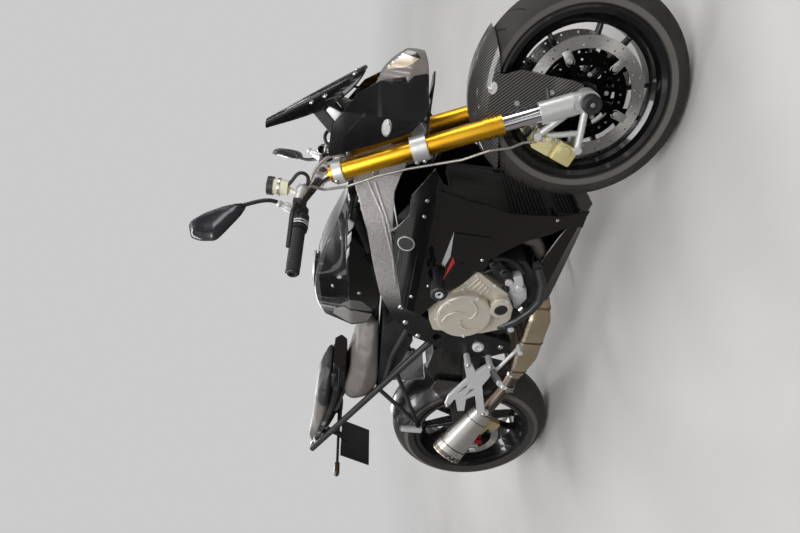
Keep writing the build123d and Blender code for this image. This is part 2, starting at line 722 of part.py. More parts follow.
@cache
def main_frame():
    """Cast beam frame: two spars from the steering head down to the pivot plates, and the stand's lug."""
    spar = side_plate(SPAR_OUTLINE, (-FRAME_Y - 10, 10)) & frame_band(FRAME_Y, FRAME_WALL)
    spar -= rod((-103, -FRAME_Y - 5, 574), (-103, -FRAME_Y + FRAME_WALL + 5, 574), 15)
    body = both(spar)
    head = (fork_point(LOWER_CLAMP[1] + 4, 0), fork_point(UPPER_CLAMP[0] - 6, 0))
    body += rod(*head, 33)
    over = HEAD_DIR * 60
    body -= rod(head[0] - over, head[1] + over, STEM_R + FIT_GAP)
    body -= rod(head[0] - over, head[0], 120)
    body -= rod(head[1], head[1] + over, 120)
    for x, z in ((-128, 333), (-66, 700)):
        body += rod((x, -FRAME_Y + 20, z), (x, FRAME_Y - 20, z), 15)
    body -= rod((PIVOT_X, -FRAME_Y - 1, PIVOT_Z), (PIVOT_X, FRAME_Y + 1, PIVOT_Z), PIVOT_R)
    body += side_plate([(-150, 345), (-100, 352), (-52, 312), (-52, 286), (-92, 286)], (124, 136), 4)
    inner = STAND_PIVOT - STAND_AXIS * (STAND_EYE_R * 0.5 + FIT_GAP)
    body += rod(inner - STAND_AXIS * 10, inner, STAND_EYE_R)
    body += rod(inner - STAND_AXIS * 8, STAND_PIVOT + STAND_AXIS * 12, STAND_PIN_R)
    return body


@cache
def pivot_bolt():
    """Swingarm pivot through both plates, with its heads."""
    body = rod((PIVOT_X, -FRAME_Y, PIVOT_Z), (PIVOT_X, FRAME_Y, PIVOT_Z), PIVOT_R)
    head = rod((PIVOT_X, -FRAME_Y - 7, PIVOT_Z), (PIVOT_X, -FRAME_Y, PIVOT_Z), 20)
    return body + both(head)


@cache
def engine_block():
    """Crankcase, inclined cylinders and head as one closed block."""
    case = side_plate([
        (-100, 470), (-96, 372), (-60, 312), (170, 296), (228, 350), (232, 440), (150, 560),
        (-40, 590)],
        (-150, 150), 8)
    cylinders = side_plate([
        (10, 556), (186, 446), (286, 606), (300, 634), (140, 732), (112, 712)], (-168, 168), 8)
    body = case + cylinders
    body -= block((-140, 0), (98, 200), (368, 492))
    return body - main_frame() - pivot_bolt()


CLUTCH = Vector(45, 0, 518)
CLUTCH_R = 88.0


@cache
def clutch_cover():
    """Right engine cover: the base casting, the round clutch cover with its spokes, and the pump."""
    base = side_plate([
        (-44, 440), (-44, 600), (4, 622), (50, 600), (130, 562), (208, 502), (172, 452),
        (132, 394), (76, 362), (30, 360),
        (-20, 384)], (-198, -150), 10)
    dome = rod((CLUTCH.X, -198, CLUTCH.Z), (CLUTCH.X, -226, CLUTCH.Z), CLUTCH_R)
    dome = fillet(dome.faces().sort_by(Axis.Y)[0].edges(), 8)
    pump = rod((96, -198, 410), (96, -222, 410), 33)
    pump = fillet(pump.faces().sort_by(Axis.Y)[0].edges(), 5)
    return base + dome + pump - main_frame() - pivot_bolt() - engine_block()


COOLANT_HOSE = [
    (-16, -176, 404), (-10, -192, 376), (20, -194, 340), (66, -192, 302), (104, -186, 282),
    (160, -170, 284),
    (206, -150, 306),
]


@cache
def coolant_hose():
    """Hose from the water pump round the sump to the radiator's side, with its neck on the engine."""
    hose = tube(COOLANT_HOSE, 14, 26)
    neck = rod((-16, -150, 404), (-16, -180, 404), 17)
    end = rod((206, -150, 306), (206, -132, 306), 16)
    return hose + neck + end - engine_block() - clutch_cover() - main_frame()


@cache
def left_engine_covers():
    """Left engine covers: the generator's round cover and the one over the front sprocket."""
    body = rod((62, 150, 452), (62, 206, 452), 78)
    body = fillet(body.faces().sort_by(Axis.Y)[-1].edges(), 10)
    cover = side_plate([
        (-128, 392), (-40, 362), (0, 400), (0, 470), (-60, 500), (-124, 478)], (124, 168), 10)
    return body + cover - main_frame() - pivot_bolt() - engine_block() - swingarm()


RADIATOR_X = (346.0, 384.0)
FINS_TOP = 440.0


@cache
def radiator():
    """Radiator behind the front wheel with the oil cooler below it, each a core of fins between tanks."""
    total = Part()
    for half, low, high in ((130, 300, 600), (96, 196, 286)):
        total += block((RADIATOR_X[0] + 8, RADIATOR_X[1] - 8), (-half, half), (low, high))
        for side in (-1, 1):
            tank = sorted((side * half, side * (half + 14)))
            total += block(RADIATOR_X, tank, (low, high))
        for i in range(1, int((min(high, FINS_TOP) - low) / 12)):
            fin = low + 12 * i
            total += block((RADIATOR_X[0] + 2, RADIATOR_X[1] - 2), (-half, half), (fin, fin + 4))
    total += block((RADIATOR_X[1] - 9, RADIATOR_X[1]), (-128, 128), (FINS_TOP + 10, 598))
    total += block((RADIATOR_X[0] + 8, RADIATOR_X[1] - 8), (-60, 60), (286, 300))
    return total


HEADER_YS = (-128.0, -46.0, 46.0, 128.0)
PIPE_R = 21.0


@cache
def exhaust_headers():
    """Four header pipes from the head, down behind the radiator and back under the engine."""
    total = Part()
    for y in HEADER_YS:
        end = y * 0.55 - 20
        points = [
            (280, y, 560), (322, y, 540), (318, y, 440), (286, y * 0.9, 330),
            (180, end * 1.1, 252), (44, end, 240)]
        total += tube(points, PIPE_R, 24)
    return total - engine_block() - exhaust_collector()


@cache
def exhaust_collector():
    """Flat silencer box under the engine, wide at the back and tapering to the front."""
    stations = [
        (-290, (222, 276), (-150, 70)),
        (-200, (196, 280), (-152, 112)),
        (-20, (196, 276), (-150, 112)),
        (44, (208, 270), (-112, 88)),
    ]
    faces = []
    for x, z, y in stations:
        faces.append(cross_section(x, [(y[0], z[0]), (y[1], z[0]), (y[1], z[1]), (y[0], z[1])], 16))
    return Part() + loft(faces, ruled=True)


CAN_FRONT = Vector(-462, -172, 333)
CAN_REAR = Vector(-648, -238, 452)


@cache
def muffler():
    """Link pipe and the six-sided can that widens to its cut-off end."""
    axis = (CAN_REAR - CAN_FRONT).normalized()
    across = Vector(axis.Y, -axis.X, 0).normalized()
    faces = []
    length = (CAN_REAR - CAN_FRONT).length
    for share, width, height in ((0.0, 54, 76), (0.2, 66, 92), (1.0, 92, 118)):
        plane = Plane(origin=CAN_FRONT + axis * (length * share), x_dir=across, z_dir=axis)
        corners = [(-width / 2, 0), (-width * 0.28, height / 2), (width * 0.28, height / 2), (width / 2, 0),
                   (width * 0.28, -height / 2), (-width * 0.28, -height / 2)]
        faces.append(plane * make_face(Polyline(*corners, close=True)))
    can = Part() + loft(faces, ruled=True)
    mouth = Plane(origin=CAN_REAR, x_dir=across, z_dir=axis)
    can -= rod(CAN_REAR - axis * 40, CAN_REAR + axis * 5, 26)
    link = [(-288, -118, 250), (-350, -140, 268), CAN_FRONT]
    return can + tube(link, 26, 40) - exhaust_collector()


@cache
def swingarm():
    """Swingarm: the pivot tube, a cross box and one beam each side, left one outside the chain."""
    side = side_plate([
        (-112, 398), (-300, 386), (-420, 352), (-560, 320), (-700, 294), (-768, 298),
        (-768, 344), (-700, 350),
        (-560, 382), (-420, 418), (-300, 442), (-112, 450)], (-160, 160))
    plan = plan_plate([
        (-112, -118), (-200, -118), (-330, -140), (-774, -140), (-774, -112), (-420, -110), (-388, -70),
        (-388, 70), (-420, 124), (-774, 124), (-774, 152), (-330, 150), (-200, 118),
        (-112, 118)], (250, 500))
    body = side & plan
    body += rod((PIVOT_X, -FRAME_Y + FRAME_WALL + FIT_GAP, PIVOT_Z),
                (PIVOT_X, FRAME_Y - FRAME_WALL - FIT_GAP, PIVOT_Z), 28)
    body -= block((-282, -176), (-46, 46), (300, 500))
    body -= rod((REAR_AXLE.X, -170, REAR_AXLE.Z), (REAR_AXLE.X, 170, REAR_AXLE.Z), AXLE_R)
    return body - pivot_bolt() - main_frame()


def loop(front_r, rear_r):
    """Closed line round both sprockets' circles, seen from the side."""
    front, rear = Vector(-60, 0, 430), REAR_AXLE
    span = front - rear
    lean = atan2(span.Z, span.X)
    wrap = acos((rear_r - front_r) / span.length)
    marks = []
    for centre, radius, start in ((rear, rear_r, wrap), (front, front_r, wrap)):
        for angle in (lean + start, lean + pi if centre is rear else lean, lean - start):
            marks.append((centre.X + radius * cos(angle), 0, centre.Z + radius * sin(angle)))
    rear_top, rear_back, rear_low, front_top, front_nose, front_low = marks
    return [
        ThreePointArc(rear_top, rear_back, rear_low), Line(rear_low, front_low),
        ThreePointArc(front_low, front_nose, front_top), Line(front_top, rear_top),
    ]


def band(depth_in, depth_out, y):
    """Belt round both sprockets between two depths about the pitch line."""
    front_r, rear_r = pitch_radius(FRONT_TEETH), pitch_radius(REAR_TEETH)
    outer = Pos(0, y[0], 0) * make_face(loop(front_r + depth_out, rear_r + depth_out))
    inner = Pos(0, y[0] - 1, 0) * make_face(loop(front_r - depth_in, rear_r - depth_in))
    width = y[1] - y[0]
    return extrude(outer, amount=width, dir=(0, 1, 0)) - extrude(inner, amount=width + 2, dir=(0, 1, 0))


@cache
def drive_chain():
    """Drive chain round both sprockets, with the front sprocket and its shaft."""
    half = CHAIN_W / 2
    total = band(CHAIN_H / 2, CHAIN_H / 2, (CHAIN_Y - half, CHAIN_Y - half + 3))
    total += band(CHAIN_H / 2, CHAIN_H / 2, (CHAIN_Y + half - 3, CHAIN_Y + half))
    total += band(4.5, 4.5, (CHAIN_Y - half, CHAIN_Y + half))
    total += rod((-60, CHAIN_Y - 3, 430), (-60, CHAIN_Y + 3, 430), pitch_radius(FRONT_TEETH) - 4)
    return total + rod((-60, 98, 430), (-60, CHAIN_Y, 430), 13)


def rear_shock():
    """Shock absorber with its spring, through the swingarm's window."""
    top, low = Vector(-150, 0, 660), Vector(-232, 0, 340)
    axis = (low - top).normalized()
    body = rod(top, low, 10) + rod(top + axis * 20, top + axis * 120, 24)
    for i in range(9):
        body += rod(top + axis * (110 + 16 * i), top + axis * (120 + 16 * i), 30)
    body += rod((-66, 0, 700), top, 8)
    return body - main_frame() - swingarm()


@cache
def rear_subframe():
    """Tubes that carry the seats and tail, bolted to the main frame."""
    rail = tube([(-125, -145, 572), (-440, -124, 738), (-900, -72, 962)], 12, 200)
    seat_rail = tube([(-78, -146, 668), (-250, -126, 706), (-420, -112, 718)], 10, 60)
    total = both(rail + seat_rail)
    for x, z, half in ((-440, 734, 122), (-700, 862, 94), (-800, 913, 80)):
        total += rod((x, -half, z), (x, half, z), 9)
    return total - main_frame()


@cache
def fuel_tank():
    """Fuel tank with its flared shoulders and the recess for the rider's knees."""
    body = saddle([
        (-144, 770, 70, 858, 98, 956, 50),
        (-70, 776, 108, 868, 134, 984, 70),
        (40, 782, 140, 880, 166, 994, 80),
        (180, 820, 128, 898, 162, 966, 74),
        (350, 872, 52, 896, 62, 916, 38),
    ], 11)
    body += rod((11, 0, 976), (11, 0, 1002), 52)
    body += both(block((150, 190), (-140, -116), (814, 860)))
    return body - main_frame()


@cache
def rider_seat():
    """Rider's seat: a plain cushion, low at the tank and stepped up at the back."""
    body = saddle([
        (-146, 764, 66, 784, 82, 806, 60),
        (-230, 758, 104, 784, 128, 826, 96),
        (-340, 748, 128, 790, 152, 832, 116),
        (-450, 746, 118, 800, 142, 848, 112),
        (-560, 800, 70, 828, 88, 860, 66),
    ], 8)
    return body - fuel_tank() - rear_subframe()


@cache
def seat_base():
    """Tray and battery box under the rider's seat."""
    body = side_plate([(-440, 738), (-150, 752), (-92, 712), (-190, 640), (-300, 666)], (-106, 106), 5)
    taken = rear_subframe() + main_frame() + fuel_tank()
    return body - taken - rider_seat() - rod((-150, 0, 700), (-200, 0, 560), 40)


@cache
def passenger_seat():
    """Passenger's seat on the tail."""
    return saddle([
        (-404, 910, 58, 922, 74, 936, 56),
        (-480, 908, 84, 926, 102, 950, 80),
        (-680, 920, 80, 938, 98, 962, 78),
        (-900, 958, 34, 968, 42, 980, 30),
    ], 5)


@cache
def tail_cowl():
    """Tail under the passenger's seat, with the block that ends behind the rider."""
    body = saddle([
        (-378, 862, 66, 884, 88, 908, 66),
        (-500, 856, 80, 884, 102, 912, 80),
        (-700, 888, 70, 912, 92, 934, 78),
        (-930, 944, 34, 958, 48, 972, 36),
    ], 6)
    post = block((-712, -688), (-30, 30), (862, 900))
    return body + post - passenger_seat() - rear_subframe() - rider_seat()


def tail_lamp():
    """Tail lamp set into the end of the tail."""
    lamp = saddle([(-925, 936, 28, 944, 34, 950, 28), (-952, 934, 22, 942, 28, 948, 20)], 3)
    return lamp - tail_cowl() - rear_subframe()


def plate_holder():
    """Arm under the tail with the blank plate and the rear turn signals on their stalks."""
    arm = tube([(-846, 0, 936), (-880, 0, 862), (-936, 0, 800)], 12, 30)
    plane = Plane(origin=(-940, 0, 780), x_dir=(0, 1, 0), z_dir=(-0.9, 0, 0.436))
    arm -= plane * Pos(0, 0, 60) * Box(200, 400, 120)
    plate = plane * Box(180, 140, 5)
    stalk = rod((-899, -6, 856), (-896, -150, 854), 6)
    lens = rod((-896, -140, 854), (-894, -196, 854), 11, 8)
    return arm + plate + both(stalk + lens) - rear_subframe() - tail_cowl()


@cache
def rear_hugger():
    """Guard on the swingarm that follows the front of the rear tyre."""
    inner = REAR_TYRE_R + 14
    half = REAR_TYRE_W / 2 + 6
    profile = [
        ThreePointArc((inner - 52, -half), (inner, 0), (inner - 52, half)),
        Line((inner - 52, half), (inner - 52, half + 4)),
        ThreePointArc((inner - 52, half + 4), (inner + 4, 0), (inner - 52, -half - 4)),
        Line((inner - 52, -half - 4), (inner - 52, -half)),
    ]
    guard = revolve(make_face(profile), Axis.Y, 74)
    guard = at(REAR_AXLE, guard.rotate(Axis.Y, -84))
    hump = side_plate([
        (-396, 430), (-416, 524), (-344, 566), (-250, 556), (-192, 520), (-196, 446),
        (-300, 436)], (-96, 96), 8)
    hump -= block((-284, -120), (-48, 48), (300, 700))
    hump -= rod((REAR_AXLE.X, -200, REAR_AXLE.Z), (REAR_AXLE.X, 200, REAR_AXLE.Z), inner)
    fin = side_plate([
        (-706, 392), (-540, 442), (-424, 536), (-376, 520), (-384, 424),
        (-560, 380)], (-half - 12, -half - 6), 8)
    fin += block((-440, -396), (-half - 8, -half + 4), (470, 512))
    return guard + hump + fin - swingarm() - drive_chain() - rear_subframe()


def rear_caliper():
    """Rear caliper on its carrier inside the right beam."""
    y = -REAR_DISC_Y
    body = block((-42, 42), (y - 13, y + 14), (REAR_DISC_R - 26, REAR_DISC_R + 22))
    slot_y = (y - REAR_DISC_T / 2 - PAD_GAP, y + REAR_DISC_T / 2 + PAD_GAP)
    body -= block((-60, 60), slot_y, (0, REAR_DISC_R + PAD_GAP + 1))
    body = chamfer(body.edges().filter_by(Axis.Y), 5)
    body += block((-16, 16), (y - 12, y - 8), (0, REAR_DISC_R - 20))
    body = at(REAR_AXLE, body.rotate(Axis.Y, 118))
    arm = rod((REAR_AXLE.X, y - 8, REAR_AXLE.Z), (REAR_AXLE.X, y - 12, REAR_AXLE.Z), 26)
    return body + arm - swingarm() - rear_axle()


@cache
def rear_axle():
    """Rear axle with its nuts and the paddock spools on the beams."""
    body = rod((REAR_AXLE.X, -156, REAR_AXLE.Z), (REAR_AXLE.X, 168, REAR_AXLE.Z), AXLE_R)
    body += rod((REAR_AXLE.X, -156, REAR_AXLE.Z), (REAR_AXLE.X, -140, REAR_AXLE.Z), 20)
    body += rod((REAR_AXLE.X, 152, REAR_AXLE.Z), (REAR_AXLE.X, 168, REAR_AXLE.Z), 20)
    return body


def paddock_spools():
    """Red spools on both beams for a workshop stand."""
    total = Part()
    for y, sense in ((-140, -1), (152, 1)):
        for offset, length, radius in ((0, 8, 13), (8, 14, 8), (22, 6, 13)):
            start = (-664, y + sense * offset, 312)
            total += rod(start, (-664, y + sense * (offset + length), 312), radius)
    return total


# Bodywork on the frame
def fairing_wall():
    """Curved wall, seen from the front, that the right side fairing is cut from."""
    out = [(-208, 620), (-178, 400), (-130, 180)]
    top = [(-150, 802), (-198, 772)]
    lines = [
        Line((0, *top[0]), (0, *top[1])),
        ThreePointArc((0, *top[1]), (0, -216, 700), (0, *out[0])),
        Line((0, *out[0]), (0, *out[1])),
        Line((0, *out[1]), (0, *out[2])),
        Line((0, *out[2]), (0, out[2][0] + FAIRING_T, out[2][1])),
        Line((0, out[2][0] + FAIRING_T, out[2][1]), (0, out[1][0] + FAIRING_T, out[1][1])),
        Line((0, out[1][0] + FAIRING_T, out[1][1]), (0, out[0][0] + FAIRING_T, out[0][1])),
        ThreePointArc((0, out[0][0] + FAIRING_T, out[0][1]), (0, -216 + FAIRING_T, 700), (0, -193, 767)),
        Line((0, -193, 767), (0, -147, 796)),
        Line((0, -147, 796), (0, *top[0])),
    ]
    return extrude(make_face(lines), amount=620, dir=(1, 0, 0))


FAIRING_OUTLINE = [
    (30, 652), (58, 716), (180, 748), (316, 782), (392, 742), (456, 744), (552, 694),
    (507, 664), (463, 578),
    (417, 452), (406, 299), (420, 205), (392, 210), (340, 312), (318, 383), (274, 449),
    (200, 494), (121, 582),
]
BOBBIN = Vector(205, -172, 632)
FAIRING_T = 5.0


def fairing_panel():
    panel = fairing_wall() & side_plate(FAIRING_OUTLINE, (-260, -90))
    panel -= rod((BOBBIN.X, -260, BOBBIN.Z), (BOBBIN.X, -150, BOBBIN.Z), 26)
    stay = rod((230, -166, 560), (230, -204, 560), 8)
    return panel + stay


@cache
def side_fairings():
    """Side fairings beside the engine and radiator."""
    panel = fairing_panel() - engine_block() - main_frame() - clutch_cover() - radiator()
    return both(panel)


def belly_pan():
    """Pan under the front of the engine."""
    outer = saddle([
        (60, 224, 120, 262, 142, 330, 150),
        (240, 196, 96, 236, 128, 296, 140),
        (400, 166, 52, 186, 84, 214, 104),
    ], 8)
    inner = saddle([
        (40, 232, 112, 268, 136, 345, 146),
        (240, 202, 90, 240, 122, 310, 135),
        (394, 172, 46, 190, 78, 230, 99),
    ], 6)
    pan = outer - inner
    pan -= side_fairings() + engine_block() + radiator() + coolant_hose()
    return pan - exhaust_headers() - exhaust_collector()


def crash_bobbins():
    """Crash protectors bolted through the fairing to the engine."""
    start = BOBBIN + Vector(0, 4, 0)
    bobbin = rod(start, BOBBIN + Vector(0, -90, 0), 12)
    bobbin += rod(BOBBIN + Vector(0, -90, 0), BOBBIN + Vector(0, -138, 0), 20, 24)
    return both(bobbin - engine_block())


FOOTREST_Y = (-218.0, -206.0)


def rider_footrests():
    """Cast footrest brackets with their cut-outs, pegs and levers."""
    plate = side_plate([
        (-176, 472), (-176, 444), (-212, 424), (-178, 396), (-178, 366), (-230, 372),
        (-276, 388), (-410, 350),
        (-420, 330), (-438, 336), (-432, 372), (-330, 402), (-352, 430), (-416, 424),
        (-420, 448), (-350, 470),
        (-398, 484), (-392, 500), (-346, 496), (-250, 448)], FOOTREST_Y, 3)
    plate -= side_plate([(-330, 470), (-290, 452), (-270, 432), (-296, 436)], (-230, -200), 2)
    plate -= side_plate([(-340, 440), (-310, 412), (-290, 404), (-300, 426)], (-230, -200), 2)
    for x, z in ((-172, 458), (-174, 381)):
        plate += rod((x - 6, -FRAME_Y, z), (x - 6, FOOTREST_Y[0], z), 11)
    peg = rod((-196, FOOTREST_Y[1], 372), (-170, -300, 362), 10)
    lever = tube([(-190, -212, 352), (-90, -224, 318), (-40, -250, 322)], 6, 24)
    lever += rod((-40, -246, 322), (-40, -282, 324), 8)
    lever += rod((-194, -212, 352), (-194, -212, 380), 8)
    bracket = plate + peg + lever
    return both(bracket - main_frame() - muffler())


def passenger_hangers():
    """Forked hangers under the tail with the folded passenger pegs."""
    apex = (-556, -176, 574)
    hanger = rod((-430, -136, 728), apex, 8) + rod((-340, -136, 676), apex, 8)
    hanger += rod((-556, -170, 574), (-556, -206, 574), 12)
    hanger += rod((-562, -200, 560), (-548, -212, 640), 12, 9)
    return both(hanger - rear_subframe())


def splash_guard():
    """Clear guard behind the shock, between the subframe and the tyre."""
    guard = side_plate([(-452, 738), (-445, 738), (-420, 560), (-428, 560)], (-70, 70))
    return guard - rear_subframe() - rear_hugger()


# Side stand, drawn as it is when parked
def side_stand():
    """Side stand: the eye on its pin, the leg and the foot flat on the ground."""
    pivot = placed_point(STAND_PIVOT)
    axis = placed_direction(STAND_AXIS)
    leg = placed_direction(STAND_LEG)
    reach = (pivot.Z - 8) / -leg.Z
    foot = pivot + leg * reach
    body = rod(pivot - axis * (STAND_EYE_R * 0.5), pivot + axis * (STAND_EYE_R * 0.5), STAND_EYE_R)
    knee = pivot + leg * 60
    body += rod(pivot, knee, STAND_EYE_R * 0.33, 12) + rod(knee, foot + leg * 3, 12, 9)
    pad = Pos(foot.X + 6, foot.Y, 4) * extrude(RectangleRounded(66, 44, 16), 4, both=True)
    body += pad
    body += rod(pivot + leg * 150, pivot + leg * 150 + Vector(-34, 10, 4), 5)
    return body - rod(pivot - axis * 30, pivot + axis * 30, STAND_PIN_R + FIT_GAP)


FORK_PIECES = {
    "fork_tubes": fork_tubes, "fork_stanchions": fork_stanchions, "fork_feet": fork_feet,
    "front_calipers": front_calipers, "front_axle": front_axle, "lower_clamp": lower_clamp,
    "upper_clamp": upper_clamp, "handlebar": handlebar, "hand_grips": hand_grips,
    "hand_controls": hand_controls, "fluid_reservoir": fluid_reservoir, "mirrors": mirrors,
    "front_mudguard": front_mudguard, "brake_hoses": brake_hoses, "headlamp": headlamp,
    "nose_cowl": nose_cowl, "windscreen": windscreen, "instrument_panel": instrument_panel,
    "front_indicators": front_indicators,
    "front_tyre": front_tyre, "front_rim": front_rim, "front_discs": front_discs,
}
FRAME_PIECES = {
    "rear_tyre": rear_tyre, "rear_rim": rear_rim, "rear_disc": rear_disc, "rear_sprocket": rear_sprocket,
    "main_frame": main_frame, "pivot_bolt": pivot_bolt, "engine_block": engine_block,
    "clutch_cover": clutch_cover, "coolant_hose": coolant_hose, "left_engine_covers": left_engine_covers,
    "radiator": radiator, "exhaust_headers": exhaust_headers, "exhaust_collector": exhaust_collector,
    "muffler": muffler,
    "swingarm": swingarm, "drive_chain": drive_chain, "rear_shock": rear_shock,
    "rear_subframe": rear_subframe, "fuel_tank": fuel_tank, "rider_seat": rider_seat, "seat_base": seat_base,
    "passenger_seat": passenger_seat, "tail_cowl": tail_cowl, "tail_lamp": tail_lamp,
    "plate_holder": plate_holder, "rear_hugger": rear_hugger, "rear_caliper": rear_caliper,
    "rear_axle": rear_axle, "paddock_spools": paddock_spools, "side_fairings": side_fairings,
    "belly_pan": belly_pan, "crash_bobbins": crash_bobbins, "rider_footrests": rider_footrests,
    "passenger_hangers": passenger_hangers, "splash_guard": splash_guard,
}


def report_joint(name, point, direction):
    """Print a joint's place in metres and its axis, as parked."""
    place = placed_point(point) * 0.001
    axis = placed_direction(direction)
    print("joint", name, *[f"{v:.6f}" for v in (place.X, place.Y, place.Z, axis.X, axis.Y, axis.Z)])


def main():
    os.makedirs("parts", exist_ok=True)
    for name, make in FORK_PIECES.items():
        export_step(parked(steered(make())), f"parts/{name}.step")
    for name, make in FRAME_PIECES.items():
        export_step(parked(make()), f"parts/{name}.step")
    export_step(side_stand(), "parts/side_stand.step")
    across = Vector(0, 1, 0)
    turned_axle = turned(FRONT_AXLE, HEAD_FOOT, HEAD_DIR, STEER_AT_REST)
    report_joint("rear_wheel_spin", REAR_AXLE, across)
    report_joint("front_wheel_spin", turned_axle, turned(across, Vector(0, 0, 0), HEAD_DIR, STEER_AT_REST))
    report_joint("steering", fork_point(900, 0), HEAD_DIR)
    report_joint("side_stand_fold", STAND_PIVOT, STAND_AXIS)
    folded = degrees(acos(STAND_LEG.dot(STAND_FOLDED)))
    print(f"stance pitch {PITCH:.4f} lift {LIFT:.3f} stand swing {folded:.1f}")


main()
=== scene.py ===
"""Looks of a parked naked four-cylinder roadster: finishes, soft seats, lenses, fasteners and fine parts."""
import json
import logging
import math
from dataclasses import dataclass, replace
from enum import Enum
from typing import Callable, ClassVar, Iterable, Sequence

import bpy
from mathutils import Matrix, Vector
from mathutils.bvhtree import BVHTree


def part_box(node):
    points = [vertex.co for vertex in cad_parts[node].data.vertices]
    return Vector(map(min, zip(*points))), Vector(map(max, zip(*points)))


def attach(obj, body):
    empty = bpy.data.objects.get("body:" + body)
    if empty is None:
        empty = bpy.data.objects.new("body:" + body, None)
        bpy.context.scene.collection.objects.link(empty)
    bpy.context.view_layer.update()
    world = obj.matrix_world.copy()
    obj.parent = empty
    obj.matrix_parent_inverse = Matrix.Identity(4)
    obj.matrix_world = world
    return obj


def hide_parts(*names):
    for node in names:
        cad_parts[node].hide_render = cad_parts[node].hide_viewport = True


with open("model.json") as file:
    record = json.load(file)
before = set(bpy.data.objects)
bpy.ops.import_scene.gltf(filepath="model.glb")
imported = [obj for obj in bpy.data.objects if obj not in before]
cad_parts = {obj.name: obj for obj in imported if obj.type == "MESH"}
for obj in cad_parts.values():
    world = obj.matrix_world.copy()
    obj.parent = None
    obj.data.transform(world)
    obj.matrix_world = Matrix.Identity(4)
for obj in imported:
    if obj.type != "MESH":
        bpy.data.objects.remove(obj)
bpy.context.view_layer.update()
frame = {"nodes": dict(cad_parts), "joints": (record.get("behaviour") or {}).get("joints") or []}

MM = 0.001
RAKE = math.radians(24.6)
STEER_AT_REST = math.radians(11.8)
REAR_AXLE = (-719.5, 0.0, 320.0)  # mm on the upright machine: X ahead, Y left, Z up
FRONT_AXLE = (719.5, 0.0, 300.0)
HEAD_FOOT = Vector((818.0, 0.0, 0.0)) * MM
HEAD_DIR = Vector((-math.sin(RAKE), 0.0, math.cos(RAKE)))
MERGE = 0.02 * MM
SOFT_ANGLE = 34.0
INWARD = (0.0, 1.0, 0.0)
OUTWARD = (0.0, -1.0, 0.0)

logging.basicConfig(level=logging.INFO, format="%(name)s: %(message)s")
LOG = logging.getLogger("roadster")

Colour = tuple[float, float, float]
Point = tuple[float, float, float]
Flat = tuple[float, float]  # X and Z on the upright machine
Socket = bpy.types.NodeSocket
Thing = bpy.types.Object


class Hold(Enum):
    """What carries a piece, and so which way it is turned from the upright machine."""

    FRAME = "frame"
    FORK = "fork"
    FRONT_WHEEL = "front_wheel"

    def place(self) -> Matrix:
        """Matrix from the upright machine with straight steering to the parked one."""
        return STANCE.steered if self in (Hold.FORK, Hold.FRONT_WHEEL) else STANCE.parked


@dataclass(frozen=True)
class Stance:
    """Where the upright machine lies in the parked one, read from the joints."""

    parked: Matrix
    steered: Matrix

    @classmethod
    def read(cls, joints: Sequence[dict]) -> "Stance":
        """Work out both matrices.

        Args:
            joints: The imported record's joints.

        Returns:
            The stance.
        """
        found = {j["name"]: j for j in joints}
        across = Vector(found["rear_wheel_spin"]["axis"]).normalized()
        head = Vector(found["steering"]["axis"]).normalized()
        fore = across.cross(head).normalized()
        ahead = fore * math.cos(RAKE) - head * math.sin(RAKE)
        up = fore * math.sin(RAKE) + head * math.cos(RAKE)
        turn = Matrix((ahead, across, up)).transposed().to_4x4()
        origin = Vector(found["rear_wheel_spin"]["pos_m"]) - turn @ (Vector(REAR_AXLE) * MM)
        parked = Matrix.Translation(origin) @ turn
        steer = (Matrix.Translation(HEAD_FOOT) @ Matrix.Rotation(STEER_AT_REST, 4, HEAD_DIR)
                 @ Matrix.Translation(-HEAD_FOOT))
        return cls(parked, parked @ steer)


STANCE = Stance.read(frame["joints"])


